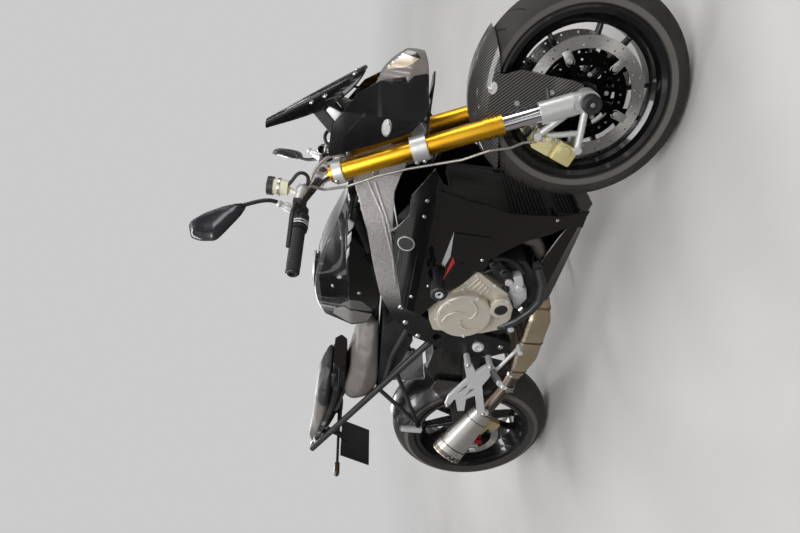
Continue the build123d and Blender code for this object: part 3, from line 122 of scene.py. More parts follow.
# Node trees
class Graph:
    """Lays out the nodes of a material or a group."""

    def __init__(self, tree: bpy.types.NodeTree) -> None:
        """Start on an empty tree."""
        self.tree = tree
        tree.nodes.clear()

    def add(self, kind: str, props: dict | None = None, **inputs: object) -> bpy.types.Node:
        """Add a node and set or link its inputs.

        Args:
            kind: The node's type, without the leading ShaderNode.
            props: Settings of the node itself.
            inputs: Values or sockets, by the input's name with underscores, or _0, _1 by place.

        Returns:
            The node.
        """
        node = self.tree.nodes.new(kind if kind.startswith("Node") else "ShaderNode" + kind)
        for key, value in (props or {}).items():
            setattr(node, key, value)
        for key, value in inputs.items():
            if key[1:].isdigit() and key[0] == "_":
                socket = node.inputs[int(key[1:])]
            else:
                socket = node.inputs[key.replace("_", " ")]
            if isinstance(value, Socket):
                self.tree.links.new(value, socket)
            elif isinstance(value, (tuple, list)) and socket.type == "RGBA" and len(value) == 3:
                socket.default_value = (*value, 1.0)
            else:
                socket.default_value = value
        return node

    def math(self, operation: str, a: object, b: object = 0.0) -> Socket:
        """One step of arithmetic; returns its value."""
        return self.add("Math", {"operation": operation}, _0=a, _1=b).outputs[0]

    def ramp(self, value: object, stops: Sequence[tuple[float, Colour]]) -> Socket:
        """Colour ramp.

        Args:
            value: What drives it.
            stops: Positions and colours.

        Returns:
            The colour.
        """
        node = self.add("ValToRGB", None, Fac=value)
        band = node.color_ramp
        while len(band.elements) < len(stops):
            band.elements.new(0.5)
        for element, (at, colour) in zip(band.elements, stops):
            element.position = at
            element.color = (*colour, 1.0)
        return node.outputs[0]

    def span(self, value: object, low: float, high: float, out_low: float = 0.0,
             out_high: float = 1.0) -> Socket:
        """Map a range smoothly onto another; returns the value."""
        node = self.add("MapRange", {"interpolation_type": "SMOOTHSTEP"}, Value=value, From_Min=low, From_Max=high,
                        To_Min=out_low, To_Max=out_high)
        return node.outputs[0]

    def axes(self, place: object) -> tuple[Socket, ...]:
        """X, Y and Z of a place."""
        node = self.add("SeparateXYZ", None, Vector=place)
        return node.outputs["X"], node.outputs["Y"], node.outputs["Z"]

    def radius(self, place: object) -> Socket:
        """Distance of a place from the Y axis."""
        flat = self.add("VectorMath", {"operation": "MULTIPLY"}, _0=place, _1=(1.0, 0.0, 1.0))
        return self.add("VectorMath", {"operation": "LENGTH"}, _0=flat.outputs[0]).outputs["Value"]

    def mix(self, share: object, a: object, b: object) -> Socket:
        """Blend two colours; returns the colour."""
        node = self.add("Mix", {"data_type": "RGBA"}, _0=share, _6=a, _7=b)
        return node.outputs[2]


def group(fill: Callable[[Graph, bpy.types.Node], dict[str, Socket]]) -> bpy.types.NodeTree:
    """Build a shader node group once: Vector, Fine and Slow go in, Height and Mask come out.

    Args:
        fill: Lays out the inside and returns what feeds each output; the group has its name.

    Returns:
        The group.
    """
    name = "pattern_" + fill.__name__
    if name in bpy.data.node_groups:
        return bpy.data.node_groups[name]
    tree = bpy.data.node_groups.new(name, "ShaderNodeTree")
    tree.interface.new_socket("Vector", in_out="INPUT", socket_type="NodeSocketVector")
    for key, way in (("Fine", "INPUT"), ("Slow", "INPUT"), ("Height", "OUTPUT"), ("Mask", "OUTPUT")):
        tree.interface.new_socket(key, in_out=way, socket_type="NodeSocketFloat")
    graph = Graph(tree)
    made = fill(graph, graph.add("NodeGroupInput"))
    sink = graph.add("NodeGroupOutput")
    for key, socket in made.items():
        tree.links.new(socket, sink.inputs[key])
    return tree


def smudges(g: Graph, source: bpy.types.Node) -> Socket:
    """Mask of slow smudges."""
    slow = g.add("TexNoise", None, Vector=source.outputs["Vector"], Scale=source.outputs["Slow"], Detail=2.0)
    return g.span(slow.outputs["Fac"], 0.35, 0.7)


def grain(g: Graph, source: bpy.types.Node) -> dict[str, Socket]:
    """Fine even grain as a height, and slow smudges as a mask."""
    fine = g.add("TexNoise", None, Vector=source.outputs["Vector"], Scale=source.outputs["Fine"], Detail=3.0)
    return {"Height": fine.outputs["Fac"], "Mask": smudges(g, source)}


def brushed(g: Graph, source: bpy.types.Node) -> dict[str, Socket]:
    """Marks drawn out along one direction: the vector that comes in is squeezed."""
    noise = g.add("TexNoise", None, Vector=source.outputs["Vector"], Scale=source.outputs["Fine"], Detail=4.0)
    return {"Height": noise.outputs["Fac"], "Mask": g.span(noise.outputs["Fac"], 0.3, 0.7)}


def turned(g: Graph, source: bpy.types.Node) -> dict[str, Socket]:
    """Turning marks: fine rings about the Y axis of the vector that comes in."""
    place = g.add("CombineXYZ", None, X=g.radius(source.outputs["Vector"])).outputs[0]
    noise = g.add("TexNoise", None, Vector=place, Scale=source.outputs["Fine"], Detail=4.0, Roughness=0.7)
    return {"Height": noise.outputs["Fac"], "Mask": g.span(noise.outputs["Fac"], 0.3, 0.7)}


def weave(g: Graph, source: bpy.types.Node) -> dict[str, Socket]:
    """Twill weave: the tows' height, and a mask of which tow lies on top."""
    x, y, z = g.axes(source.outputs["Vector"])
    along = g.math("MULTIPLY", x, source.outputs["Fine"])
    up = g.math("MULTIPLY", g.math("ADD", z, g.math("MULTIPLY", y, 0.9)), source.outputs["Fine"])
    steps = g.math("ADD", g.math("FLOOR", along), g.math("FLOOR", up))
    on_top = g.math("GREATER_THAN", g.math("MODULO", g.math("ABSOLUTE", steps), 4.0), 1.5)
    wave = g.math("MULTIPLY", g.math("PINGPONG", along, 0.5), g.math("PINGPONG", up, 0.5))
    return {"Height": wave, "Mask": on_top}


def hide(g: Graph, source: bpy.types.Node) -> dict[str, Socket]:
    """Grain of a moulded seat cover: small irregular cells, and slow smudges as a mask."""
    cells = g.add("TexVoronoi", {"feature": "DISTANCE_TO_EDGE"}, Vector=source.outputs["Vector"],
                  Scale=source.outputs["Fine"])
    return {"Height": g.span(cells.outputs["Distance"], 0.0, 0.12), "Mask": smudges(g, source)}


class Pattern(Enum):
    """What a finish has on its surface."""

    SMOOTH = "smooth"
    GRAIN = "grain"
    CAST = "cast"
    BRUSHED = "brushed"
    TURNED = "turned"
    WEAVE = "weave"
    HIDE = "hide"


FILLS = {Pattern.BRUSHED: brushed, Pattern.TURNED: turned, Pattern.WEAVE: weave, Pattern.HIDE: hide}


@dataclass(frozen=True)
class Finish:
    """One material: its numbers and the pattern on it."""

    name: str
    colour: Colour
    second: Colour | None = None
    metallic: float = 0.0
    roughness: float = 0.4
    spread: float = 0.08
    coat: float = 0.0
    coat_roughness: float = 0.05
    coat_ior: float = 1.4
    specular: float = 0.5
    glow: float = 0.0
    pattern: Pattern = Pattern.SMOOTH
    fine: float = 900.0
    slow: float = 9.0
    depth: float = 0.08
    transmission: float = 0.0
    ior: float = 1.5
    hold: Hold = Hold.FRAME
    centre: Point = (0.0, 0.0, 0.0)
    stretch: Point = (1.0, 1.0, 1.0)
    edge: float = 0.0
    wave: float = 0.0

    def upright(self, g: Graph) -> Socket:
        """Place of the surface on the upright machine, from this finish's centre, in metres.

        Args:
            g: The material's graph.

        Returns:
            The vector.
        """
        coords = g.add("TexCoord").outputs["Object"]
        matrix = self.hold.place() @ Matrix.Translation(Vector(self.centre) * MM)
        return g.add("Mapping", {"vector_type": "TEXTURE"}, Vector=coords, Location=matrix.to_translation(),
                     Rotation=matrix.to_euler()).outputs[0]

    def tint(self, factor: float) -> Colour:
        """The first colour made lighter or darker."""
        return tuple(c * factor for c in self.colour)

    def blend(self, g: Graph, mask: Socket) -> Socket:
        """The two colours blended by a mask."""
        return g.mix(mask, self.colour, self.second or self.tint(0.8))

    def colours(self, g: Graph, place: Socket, mask: Socket) -> Socket:
        """Base colour of the material.

        Args:
            g: The material's graph.
            place: Place on the upright machine, from the finish's centre.
            mask: The pattern's mask.

        Returns:
            The colour.
        """
        return self.blend(g, mask)

    def material(self) -> bpy.types.Material:
        """The Blender material, built once.

        Returns:
            The material.
        """
        if self.name in bpy.data.materials:
            return bpy.data.materials[self.name]
        made = bpy.data.materials.new(self.name)
        made.use_nodes = True
        g = Graph(made.node_tree)
        place = self.upright(g)
        base = g.add("Group", {"node_tree": group(grain)}, Vector=place, Fine=self.fine, Slow=self.slow)
        marks = base
        if self.pattern in FILLS:
            drawn = g.add("Mapping", None, Vector=place, Scale=self.stretch).outputs[0]
            marks = g.add("Group", {"node_tree": group(FILLS[self.pattern])}, Vector=drawn, Fine=self.fine,
                          Slow=self.slow)
        height, mask = marks.outputs["Height"], marks.outputs["Mask"]
        if self.pattern is Pattern.CAST:
            mask = g.span(height, 0.35, 0.65)
        colour = self.colours(g, place, mask)
        rough = g.math("ADD", self.roughness, g.math("MULTIPLY", base.outputs["Mask"], self.spread))
        shader = g.add("BsdfPrincipled", None, Base_Color=colour, Metallic=self.metallic, Roughness=rough, IOR=self.ior,
                       Specular_IOR_Level=self.specular, Coat_Weight=self.coat, Coat_Roughness=self.coat_roughness,
                       Coat_IOR=self.coat_ior, Transmission_Weight=self.transmission)
        if self.glow:
            shader.inputs["Emission Color"].default_value = (*self.colour, 1.0)
            shader.inputs["Emission Strength"].default_value = self.glow
        facing = None
        if self.edge:
            facing = g.add("Bevel", {"samples": 4}, Radius=self.edge * MM).outputs[0]
        bumps = [] if self.pattern is Pattern.SMOOTH else [(self.depth, 0.001, height)]
        if self.wave:
            swell = g.add("TexNoise", None, Vector=place, Scale=6.0, Detail=1.0)
            bumps.insert(0, (self.wave, 0.03, swell.outputs["Fac"]))
        for strength, reach, source in bumps:
            bump = g.add("Bump", None, Strength=strength, Distance=reach, Height=source)
            if facing is not None:
                made.node_tree.links.new(facing, bump.inputs["Normal"])
            facing = bump.outputs[0]
        if facing is not None:
            made.node_tree.links.new(facing, shader.inputs["Normal"])
        out = g.add("OutputMaterial")
        made.node_tree.links.new(shader.outputs[0], out.inputs["Surface"])
        return made


@dataclass(frozen=True)
class SparFinish(Finish):
    """Rough metallic paint that fades from silver at the head to graphite at the pivot plates."""

    def colours(self, g: Graph, place: Socket, mask: Socket) -> Socket:
        """Silver ahead, graphite behind, with sparkle."""
        ahead = g.span(g.axes(place)[0], -0.02, 0.12)
        fleck = g.add("TexVoronoi", None, Vector=place, Scale=950.0).outputs["Color"]
        bright = g.span(g.add("SeparateColor", None, Color=fleck).outputs[0], 0.1, 0.95)
        silver = g.mix(bright, (0.3, 0.285, 0.285), (0.85, 0.81, 0.8))
        return g.mix(ahead, g.mix(bright, (0.014, 0.014, 0.015), (0.06, 0.058, 0.06)), silver)


@dataclass(frozen=True)
class TyreFinish(Finish):
    """Tyre rubber: dark tread, and a painted highlight band on the walls."""

    outer: float = 0.300
    grooves: float = 26.0

    def colours(self, g: Graph, place: Socket, mask: Socket) -> Socket:
        """Darker tread with its grooves; walls with a lighter painted highlight band near the rim."""
        radius = g.radius(place)
        x, y, z = g.axes(place)
        wall = g.span(radius, self.outer - 0.035, self.outer - 0.02, 1.0, 0.0)
        turn = g.math("MULTIPLY", g.math("ARCTAN2", z, x), self.grooves / (2 * math.pi))
        side = g.math("ABSOLUTE", y)
        lean = g.math("ADD", turn, g.math("MULTIPLY", side, 14.0))
        line = g.span(g.math("PINGPONG", lean, 0.5), 0.035, 0.055, 1.0, 0.0)
        strip = g.math("MULTIPLY", g.span(side, 0.010, 0.012), g.span(side, 0.046, 0.049, 1.0, 0.0))
        crown = g.span(radius, self.outer - 0.03, self.outer - 0.026)
        groove = g.math("MULTIPLY", line, g.math("MULTIPLY", strip, crown))
        tread = g.mix(groove, g.mix(mask, self.tint(1.9), self.tint(2.6)), (0.002, 0.002, 0.002))
        # Painted highlight: a lighter band on the wall near the rim, where the sidewall catches the light.
        painted_highlight_band = g.math("MULTIPLY", g.span(radius, self.outer - 0.063, self.outer - 0.061),
                        g.span(radius, self.outer - 0.048, self.outer - 0.045, 1.0, 0.0))
        plain = g.mix(mask, self.tint(1.8), self.tint(2.6))
        return g.mix(wall, tread, g.mix(painted_highlight_band, plain, (0.1, 0.092, 0.084)))


@dataclass(frozen=True)
class DiscFinish(Finish):
    """Turned steel band on a black carrier."""

    band: float = 0.127

    def colours(self, g: Graph, place: Socket, mask: Socket) -> Socket:
        """Steel outside the band's inner edge, with painted radial highlights on it, black inside it."""
        x, _, z = g.axes(place)
        # Painted highlight: bright radial gleams, painted into the steel's colour by the angle round the axle.
        turn = g.math("MULTIPLY", g.math("ARCTAN2", z, x), 2.0)
        painted_gleam = g.math("POWER", g.math("ABSOLUTE", g.math("COSINE", g.math("ADD", turn, 0.7))), 6.0)
        steel = g.mix(painted_gleam, self.blend(g, mask), (0.95, 0.94, 0.92))
        return g.mix(g.span(g.radius(place), self.band - 0.0006, self.band), (0.006, 0.006, 0.006), steel)


@dataclass(frozen=True)
class SplitFinish(Finish):
    """Cover whose front part is black."""

    split: float = -0.585

    def colours(self, g: Graph, place: Socket, mask: Socket) -> Socket:
        """Black ahead of the split, the cover's colour behind it."""
        ahead = g.span(g.axes(place)[0], self.split - 0.0015, self.split)
        return g.mix(ahead, self.blend(g, mask), (0.014, 0.0135, 0.013))


@dataclass(frozen=True)
class TankFinish(Finish):
    """Black lacquer whose crown, above a line that follows the tank's own top line, is coloured a lighter dark grey."""

    def colours(self, g: Graph, place: Socket, mask: Socket) -> Socket:
        """Dark grey above the parting line, black below it."""
        x, _, z = g.axes(place)
        along = g.add("MapRange", None, Value=x, From_Min=-0.15, From_Max=0.35).outputs[0]
        line = g.ramp(along, [(at, (h, h, h)) for at, h in
                              ((0.0, 0.2), (0.16, 0.55), (0.4, 0.72), (0.66, 0.5), (1.0, 0.02))])
        top = g.math("ADD", g.math("MULTIPLY", line, 0.1), 0.91)
        crown = g.span(g.math("SUBTRACT", z, top), -0.0006, 0.0006)
        return g.mix(crown, self.blend(g, mask), (0.045, 0.043, 0.042))


@dataclass(frozen=True)
class CellFinish(Finish):
    """Rubber with cells in offset rows, drawn by their darker joints."""

    cell: float = 150.0

    def colours(self, g: Graph, place: Socket, mask: Socket) -> Socket:
        """Darker joints between the cells."""
        x, _, z = g.axes(place)
        rows = g.math("MULTIPLY", z, self.cell * 1.15)
        shift = g.math("MULTIPLY", g.math("MODULO", g.math("FLOOR", rows), 2.0), 0.5)
        cols = g.math("ADD", g.math("MULTIPLY", x, self.cell), shift)
        joint = g.math("MINIMUM", g.math("PINGPONG", rows, 0.5), g.math("PINGPONG", cols, 0.5))
        return g.mix(g.span(joint, 0.06, 0.16), self.tint(0.2), self.colour)


# Finishes
BLACK = Finish("gloss_black_lacquer", (0.0016, 0.0016, 0.0018), (0.002, 0.002, 0.0022), roughness=0.2, spread=0.05,
               coat=1.0, coat_roughness=0.02, coat_ior=1.5, specular=0.12, edge=3.5, wave=0.9)
BLACK_FORK = replace(BLACK, name="gloss_black_lacquer_nose", edge=5.0, hold=Hold.FORK)
SMOKE = replace(BLACK, name="smoked_screen", coat_ior=1.35, specular=0.1, edge=2.0, wave=0.15, hold=Hold.FORK)
TANK_BLACK = TankFinish("tank_lacquer", BLACK.colour, BLACK.second, roughness=0.2, spread=0.05, coat=1.0,
                        coat_roughness=0.02, coat_ior=1.35, specular=0.12, edge=9.0, wave=0.35)
HUGGER = Finish("hugger_lacquer", (0.008, 0.0075, 0.007), (0.011, 0.0105, 0.01), roughness=0.28, spread=0.08, coat=0.8,
                coat_roughness=0.1, coat_ior=1.4, edge=8.0, wave=0.8)
LINK = Finish("link_pipe", (0.16, 0.13, 0.105), (0.26, 0.215, 0.175), metallic=1.0, roughness=0.34, spread=0.15)
WELD = Finish("weld_bead", (0.2, 0.14, 0.085), (0.34, 0.26, 0.17), metallic=1.0, roughness=0.4, spread=0.15)
SATIN_BLACK = Finish("satin_black_plastic", (0.012, 0.012, 0.013), (0.02, 0.02, 0.021), roughness=0.42, spread=0.15,
                     pattern=Pattern.GRAIN, fine=1400.0, depth=0.12, edge=2.0)
SATIN_BLACK_FORK = replace(SATIN_BLACK, name="satin_black_plastic_fork", roughness=0.4, hold=Hold.FORK)
ENGINE_BLACK = Finish("engine_paint", (0.014, 0.014, 0.015), (0.03, 0.03, 0.03), roughness=0.45, spread=0.15,
                      metallic=0.3, pattern=Pattern.CAST, fine=700.0, depth=0.25, edge=4.0)
RUBBER = Finish("grip_rubber", (0.012, 0.012, 0.012), (0.02, 0.02, 0.02), roughness=0.6, spread=0.15,
                pattern=Pattern.GRAIN, depth=0.2, hold=Hold.FORK)
RIM_FRONT = Finish("front_rim_paint", (0.004, 0.004, 0.0045), (0.006, 0.006, 0.0065), roughness=0.2, spread=0.1,
                   coat=0.9, specular=0.25, hold=Hold.FRONT_WHEEL)
RIM_REAR = replace(RIM_FRONT, name="rear_rim_paint", hold=Hold.FRAME)
TYRE_FRONT = TyreFinish("front_tyre_rubber", (0.013, 0.012, 0.011), roughness=0.62, spread=0.2, pattern=Pattern.GRAIN,
                        fine=800.0, depth=0.25, hold=Hold.FRONT_WHEEL, centre=FRONT_AXLE)
TYRE_REAR = replace(TYRE_FRONT, name="rear_tyre_rubber", hold=Hold.FRAME, centre=REAR_AXLE, outer=0.320)
DISC_FRONT = DiscFinish("front_disc_steel", (0.3, 0.3, 0.3), (0.44, 0.435, 0.43), metallic=1.0, roughness=0.24,
                        spread=0.1, pattern=Pattern.TURNED, fine=1500.0, depth=0.03, hold=Hold.FRONT_WHEEL,
                        centre=FRONT_AXLE)
DISC_REAR = DiscFinish("rear_disc_steel", (0.4, 0.4, 0.4), (0.6, 0.6, 0.59), metallic=1.0, roughness=0.28, spread=0.1,
                       pattern=Pattern.TURNED, fine=1500.0, depth=0.2, centre=REAR_AXLE, band=0.08)
CHAIN = Finish("chain_steel", (0.16, 0.14, 0.11), (0.34, 0.3, 0.24), metallic=0.9, roughness=0.42, spread=0.2,
               pattern=Pattern.CAST, fine=300.0, depth=0.2)
GOLD = Finish("gold_anodising", (0.84, 0.43, 0.025), (0.88, 0.48, 0.04), metallic=1.0, roughness=0.33, spread=0.03,
              pattern=Pattern.GRAIN, depth=0.02, hold=Hold.FORK)
CALIPER = Finish("caliper_paint", (0.62, 0.54, 0.25), (0.74, 0.67, 0.36), metallic=0.45, roughness=0.32, spread=0.1,
                 pattern=Pattern.GRAIN, hold=Hold.FORK, edge=2.5)
CALIPER_REAR = Finish("caliper_paint_rear", (0.52, 0.43, 0.2), (0.62, 0.53, 0.28), metallic=0.55, roughness=0.34,
                      spread=0.1, pattern=Pattern.GRAIN)
CHROME = Finish("hard_chrome", (0.72, 0.73, 0.76), (0.8, 0.8, 0.82), metallic=1.0, roughness=0.06, spread=0.05,
                hold=Hold.FORK)
CAST_SILVER = Finish("cast_silver", (0.6, 0.6, 0.59), (0.7, 0.7, 0.69), metallic=0.55, roughness=0.36, spread=0.12,
                     pattern=Pattern.CAST, fine=700.0, depth=0.12, hold=Hold.FORK, edge=2.5)
BRACKET_SILVER = Finish("bracket_silver", (0.62, 0.62, 0.63), (0.74, 0.74, 0.75), metallic=0.45, roughness=0.34,
                        spread=0.12, pattern=Pattern.CAST, fine=700.0, depth=0.1, edge=2.0)
SPAR = SparFinish("spar_metallic", (0.3, 0.3, 0.3), metallic=0.75, roughness=0.34, spread=0.12, pattern=Pattern.CAST,
                  fine=520.0, depth=0.35, edge=4.0)
COVER = Finish("cover_champagne", (0.4, 0.35, 0.27), (0.5, 0.45, 0.36), metallic=0.6, roughness=0.42, spread=0.12,
               pattern=Pattern.CAST, fine=800.0, depth=0.12, edge=2.5)
HEADER = Finish("header_steel", (0.035, 0.03, 0.027), (0.09, 0.075, 0.06), metallic=0.9, roughness=0.4, spread=0.2,
                pattern=Pattern.CAST, fine=60.0, slow=14.0)
COLLECTOR = Finish("collector_steel", (0.66, 0.55, 0.38), (0.86, 0.78, 0.62), metallic=1.0, roughness=0.22, spread=0.12,
                   slow=6.0, edge=16.0, wave=0.8)
TITANIUM = Finish("titanium", (0.25, 0.215, 0.175), (0.38, 0.335, 0.28), metallic=1.0, roughness=0.3, spread=0.12,
                  pattern=Pattern.BRUSHED, fine=160.0, stretch=(0.06, 1.0, 0.12), edge=14.0)
CORE = Finish("radiator_core", (0.01, 0.01, 0.01), (0.03, 0.03, 0.03), metallic=0.5, roughness=0.5, spread=0.15,
              pattern=Pattern.BRUSHED, fine=260.0, depth=0.6, stretch=(1.0, 1.0, 0.04))
RED = Finish("red_anodising", (0.5, 0.02, 0.03), (0.65, 0.04, 0.05), metallic=0.9, roughness=0.25, spread=0.1)
BRAID = Finish("braided_steel", (0.36, 0.35, 0.33), (0.7, 0.69, 0.66), metallic=0.9, roughness=0.3, spread=0.12,
               pattern=Pattern.WEAVE, depth=0.5, hold=Hold.FORK)
CUP = Finish("reservoir_cream", (0.66, 0.6, 0.42), (0.72, 0.68, 0.52), roughness=0.3, spread=0.1, hold=Hold.FORK)
SHELL = Finish("mirror_shell", (0.004, 0.004, 0.0045), (0.006, 0.006, 0.0065), roughness=0.38, spread=0.1, coat=0.15,
               coat_roughness=0.25, hold=Hold.FORK)
CARBON = Finish("carbon_weave", (0.0015, 0.0015, 0.002), (0.12, 0.116, 0.11), roughness=0.34, spread=0.05, coat=1.0,
                coat_roughness=0.04, coat_ior=1.35, specular=0.2, pattern=Pattern.WEAVE, fine=400.0, depth=0.05,
                hold=Hold.FORK)
LENS = Finish("clear_lens", (0.55, 0.55, 0.54), (0.62, 0.62, 0.6), roughness=0.08, spread=0.04, coat=1.0,
              hold=Hold.FORK)
CLEAR = Finish("clear_guard", (0.5, 0.52, 0.53), (0.6, 0.62, 0.63), roughness=0.18, spread=0.1, transmission=0.85)
RED_LENS = Finish("red_lens", (0.4, 0.01, 0.01), (0.5, 0.02, 0.02), roughness=0.12, spread=0.05, coat=1.0)
SPRING = Finish("spring_paint", (0.42, 0.3, 0.03), (0.5, 0.36, 0.05), roughness=0.35, spread=0.1)
STEEL = Finish("bright_steel", (0.55, 0.55, 0.55), (0.66, 0.66, 0.66), metallic=1.0, roughness=0.24, spread=0.1)
STEEL_WHEEL = Finish("bright_steel_wheel", (0.5, 0.5, 0.5), (0.6, 0.6, 0.6), metallic=1.0, roughness=0.28, spread=0.1,
                     hold=Hold.FRONT_WHEEL)
STEEL_FORK = replace(STEEL, name="bright_steel_fork", hold=Hold.FORK)
SEAT_TAUPE = Finish("seat_cover_taupe", (0.115, 0.1, 0.09), (0.14, 0.123, 0.11), roughness=0.4, spread=0.1,
                    pattern=Pattern.HIDE, fine=700.0, depth=0.1)
SEAT_REAR = SplitFinish("seat_cover_rear", (0.095, 0.086, 0.08), (0.12, 0.11, 0.1), roughness=0.42, spread=0.1,
                        pattern=Pattern.HIDE, fine=700.0, depth=0.1)
KNEE = CellFinish("knee_rubber", (0.26, 0.25, 0.235), roughness=0.5, spread=0.1, cell=190.0)
GREY_PANEL = Finish("grey_trim", (0.09, 0.09, 0.088), (0.11, 0.11, 0.107), roughness=0.42, spread=0.1)
HOSE_BLACK = Finish("hose_rubber", (0.012, 0.012, 0.013), (0.02, 0.02, 0.02), roughness=0.45, spread=0.15)
HOSE_FORK = replace(HOSE_BLACK, name="hose_rubber_fork", hold=Hold.FORK)
COOLANT = Finish("coolant_rubber", (0.02, 0.021, 0.024), (0.035, 0.037, 0.04), roughness=0.32, spread=0.1,
                 pattern=Pattern.GRAIN, depth=0.05)
RED_PAINT = Finish("red_stripe", (0.42, 0.012, 0.016), (0.5, 0.02, 0.022), roughness=0.3, spread=0.05, coat=0.6)
GREY_PAINT = Finish("grey_stripe", (0.36, 0.36, 0.37), (0.42, 0.42, 0.43), roughness=0.3, spread=0.05, coat=0.6)
# Painted reflection: the reflector is given a small glow (glow=0.16), standing in for the light it mirrors.
REFLECTOR_GLOW = Finish("lamp_reflector", (0.62, 0.5, 0.38), (0.8, 0.72, 0.62), metallic=0.4, roughness=0.16, spread=0.05,
              coat=1.0, fine=60.0, glow=0.16, hold=Hold.FORK)
LAMP_DARK = Finish("lamp_hollow", (0.01, 0.009, 0.008), (0.03, 0.026, 0.022), roughness=0.12, spread=0.05, coat=1.0,
                   hold=Hold.FORK)
LAMP_SMOKE = Finish("lamp_lens", (0.2, 0.18, 0.16), (0.27, 0.25, 0.23), roughness=0.1, spread=0.05, coat=1.0,
                    hold=Hold.FORK, edge=4.0)
SMOKED_AMBER = Finish("smoked_amber_lens", (0.03, 0.018, 0.01), (0.045, 0.026, 0.014), roughness=0.15, spread=0.05,
                      coat=1.0)
GLASS = Finish("mirror_glass", (0.75, 0.77, 0.8), (0.8, 0.82, 0.84), metallic=1.0, roughness=0.03, spread=0.02,
               hold=Hold.FORK)

# Studio
@dataclass
class Studio:
    """Camera, lamps, floor and world."""

    focal_px: float = 617.604
    frame_px: float = 800.0
    sensor_mm: float = 36.0
    eye_mm: Point = (1331.525, -1643.327, 935.342)
    right: Point = (0.77986502, 0.61995984, 0.08637325)
    down: Point = (0.13291453, -0.02917217, -0.99069809)
    floor_half: float = 14.0
    fade: Flat = (1.7, 4.6)

    def camera(self) -> None:
        """The photograph's camera, which was held on its side."""
        data = bpy.data.cameras.new("camera")
        data.sensor_width = self.sensor_mm
        data.lens = self.focal_px / self.frame_px * self.sensor_mm
        data.clip_start, data.clip_end = 0.05, 60.0
        camera = bpy.data.objects.new("camera", data)
        bpy.context.scene.collection.objects.link(camera)
        turn = STANCE.parked.to_3x3()
        x_axis = turn @ Vector(self.down)
        y_axis = turn @ Vector(self.right)
        z_axis = x_axis.cross(y_axis)
        basis = Matrix((x_axis, y_axis, z_axis)).transposed().to_4x4()
        camera.matrix_world = Matrix.Translation(STANCE.parked @ (Vector(self.eye_mm) * MM)) @ basis
        bpy.context.scene.camera = camera

    def floor(self) -> None:
        """Plain pale floor that fades into the backdrop's colour with distance, and keeps its shadow."""
        deselect()
        bpy.ops.mesh.primitive_plane_add(size=self.floor_half * 2, location=(0, 0, 0))
        plane = bpy.context.object
        plane.name = "floor"
        finish = bpy.data.materials.new("pale_floor")
        finish.use_nodes = True
        g = Graph(finish.node_tree)
        coords = g.add("TexCoord").outputs["Object"]
        cloud = g.add("TexNoise", None, Vector=coords, Scale=1.4, Detail=5.0)
        tone = g.mix(g.span(cloud.outputs["Fac"], 0.3, 0.7), (0.5, 0.49, 0.48), (0.56, 0.55, 0.54))
        shader = g.add("BsdfPrincipled", None, Base_Color=tone, Roughness=0.55, Specular_IOR_Level=0.2)
        path = g.add("LightPath")
        dim = g.add("Emission", None, Color=(0.22, 0.21, 0.196), Strength=1.0)
        lit = g.add("MixShader", None, _0=path.outputs["Is Glossy Ray"], _1=shader.outputs[0], _2=dim.outputs[0])
        reach = g.add("VectorMath", {"operation": "LENGTH"}, _0=coords).outputs["Value"]
        gone = g.math("MULTIPLY", g.span(reach, self.fade[0], self.fade[1]), path.outputs["Is Camera Ray"])
        clear = g.add("BsdfTransparent")
        whole = g.add("MixShader", None, _0=gone, _1=lit.outputs[0], _2=clear.outputs[0])
        out = g.add("OutputMaterial")
        finish.node_tree.links.new(whole.outputs[0], out.inputs["Surface"])
        plane.data.materials.append(finish)

    def lamp(self, name: str, at: Point, target: Point, size: Flat, watts: float) -> None:
        """One soft box.

        Args:
            name: Its name.
            at: Where it stands, in metres.
            target: What it faces.
            size: Width and height in metres.
            watts: Its power.
        """
        data = bpy.data.lights.new(name, "AREA")
        data.shape = "RECTANGLE"
        data.size, data.size_y = size
        data.energy = watts
        lamp = bpy.data.objects.new(name, data)
        lamp.location = at
        lamp.rotation_euler = (Vector(target) - Vector(at)).to_track_quat("-Z", "Y").to_euler()
        bpy.context.scene.collection.objects.link(lamp)

    def world(self) -> None:
        """Even pale world, brighter where it is seen or mirrored than where it lights."""
        world = bpy.data.worlds.new("studio")
        world.use_nodes = True
        bpy.context.scene.world = world
        g = Graph(world.node_tree)
        path = g.add("LightPath")
        seen = g.math("MAXIMUM", path.outputs["Is Camera Ray"], path.outputs["Is Transmission Ray"])
        direction = g.add("TexCoord").outputs["Generated"]
        up = g.add("SeparateXYZ", None, Vector=direction).outputs["Z"]
        walls = g.add("TexNoise", None, Vector=direction, Scale=2.6, Detail=1.5).outputs["Fac"]
        patches = g.ramp(walls, [(0.36, (0.04, 0.04, 0.042)), (0.5, (0.08, 0.08, 0.084)), (0.58, (0.3, 0.3, 0.3)),
                                 (0.66, (0.9, 0.9, 0.87))])
        spots = g.add("TexVoronoi", None, Vector=direction, Scale=5.5).outputs["Distance"]
        lit = g.math("MULTIPLY", g.span(spots, 0.1, 0.15, 1.0, 0.0), g.span(up, 0.1, 0.25))
        drawn = g.add("Mapping", None, Vector=direction, Scale=(3.0, 3.0, 26.0)).outputs[0]
        strips = g.add("TexNoise", None, Vector=drawn, Scale=1.0, Detail=0.5).outputs["Fac"]
        tube = g.math("MULTIPLY", g.span(strips, 0.63, 0.66), g.span(up, -0.02, 0.04))
        gloss = g.mix(lit, g.mix(tube, patches, (1.8, 1.8, 1.76)), (7.0, 6.9, 6.6))
        plain = g.add("Background", None, Color=(0.46, 0.47, 0.48), Strength=0.7)
        shown = g.add("Background", None, Color=(0.6, 0.6, 0.6), Strength=1.0)
        mirrored = g.add("Background", None, Color=gloss, Strength=1.0)
        first = g.add("MixShader", None, _0=path.outputs["Is Glossy Ray"], _1=plain.outputs[0], _2=mirrored.outputs[0])
        last = g.add("MixShader", None, _0=seen, _1=first.outputs[0], _2=shown.outputs[0])
        out = g.add("OutputWorld")
        world.node_tree.links.new(last.outputs[0], out.inputs["Surface"])

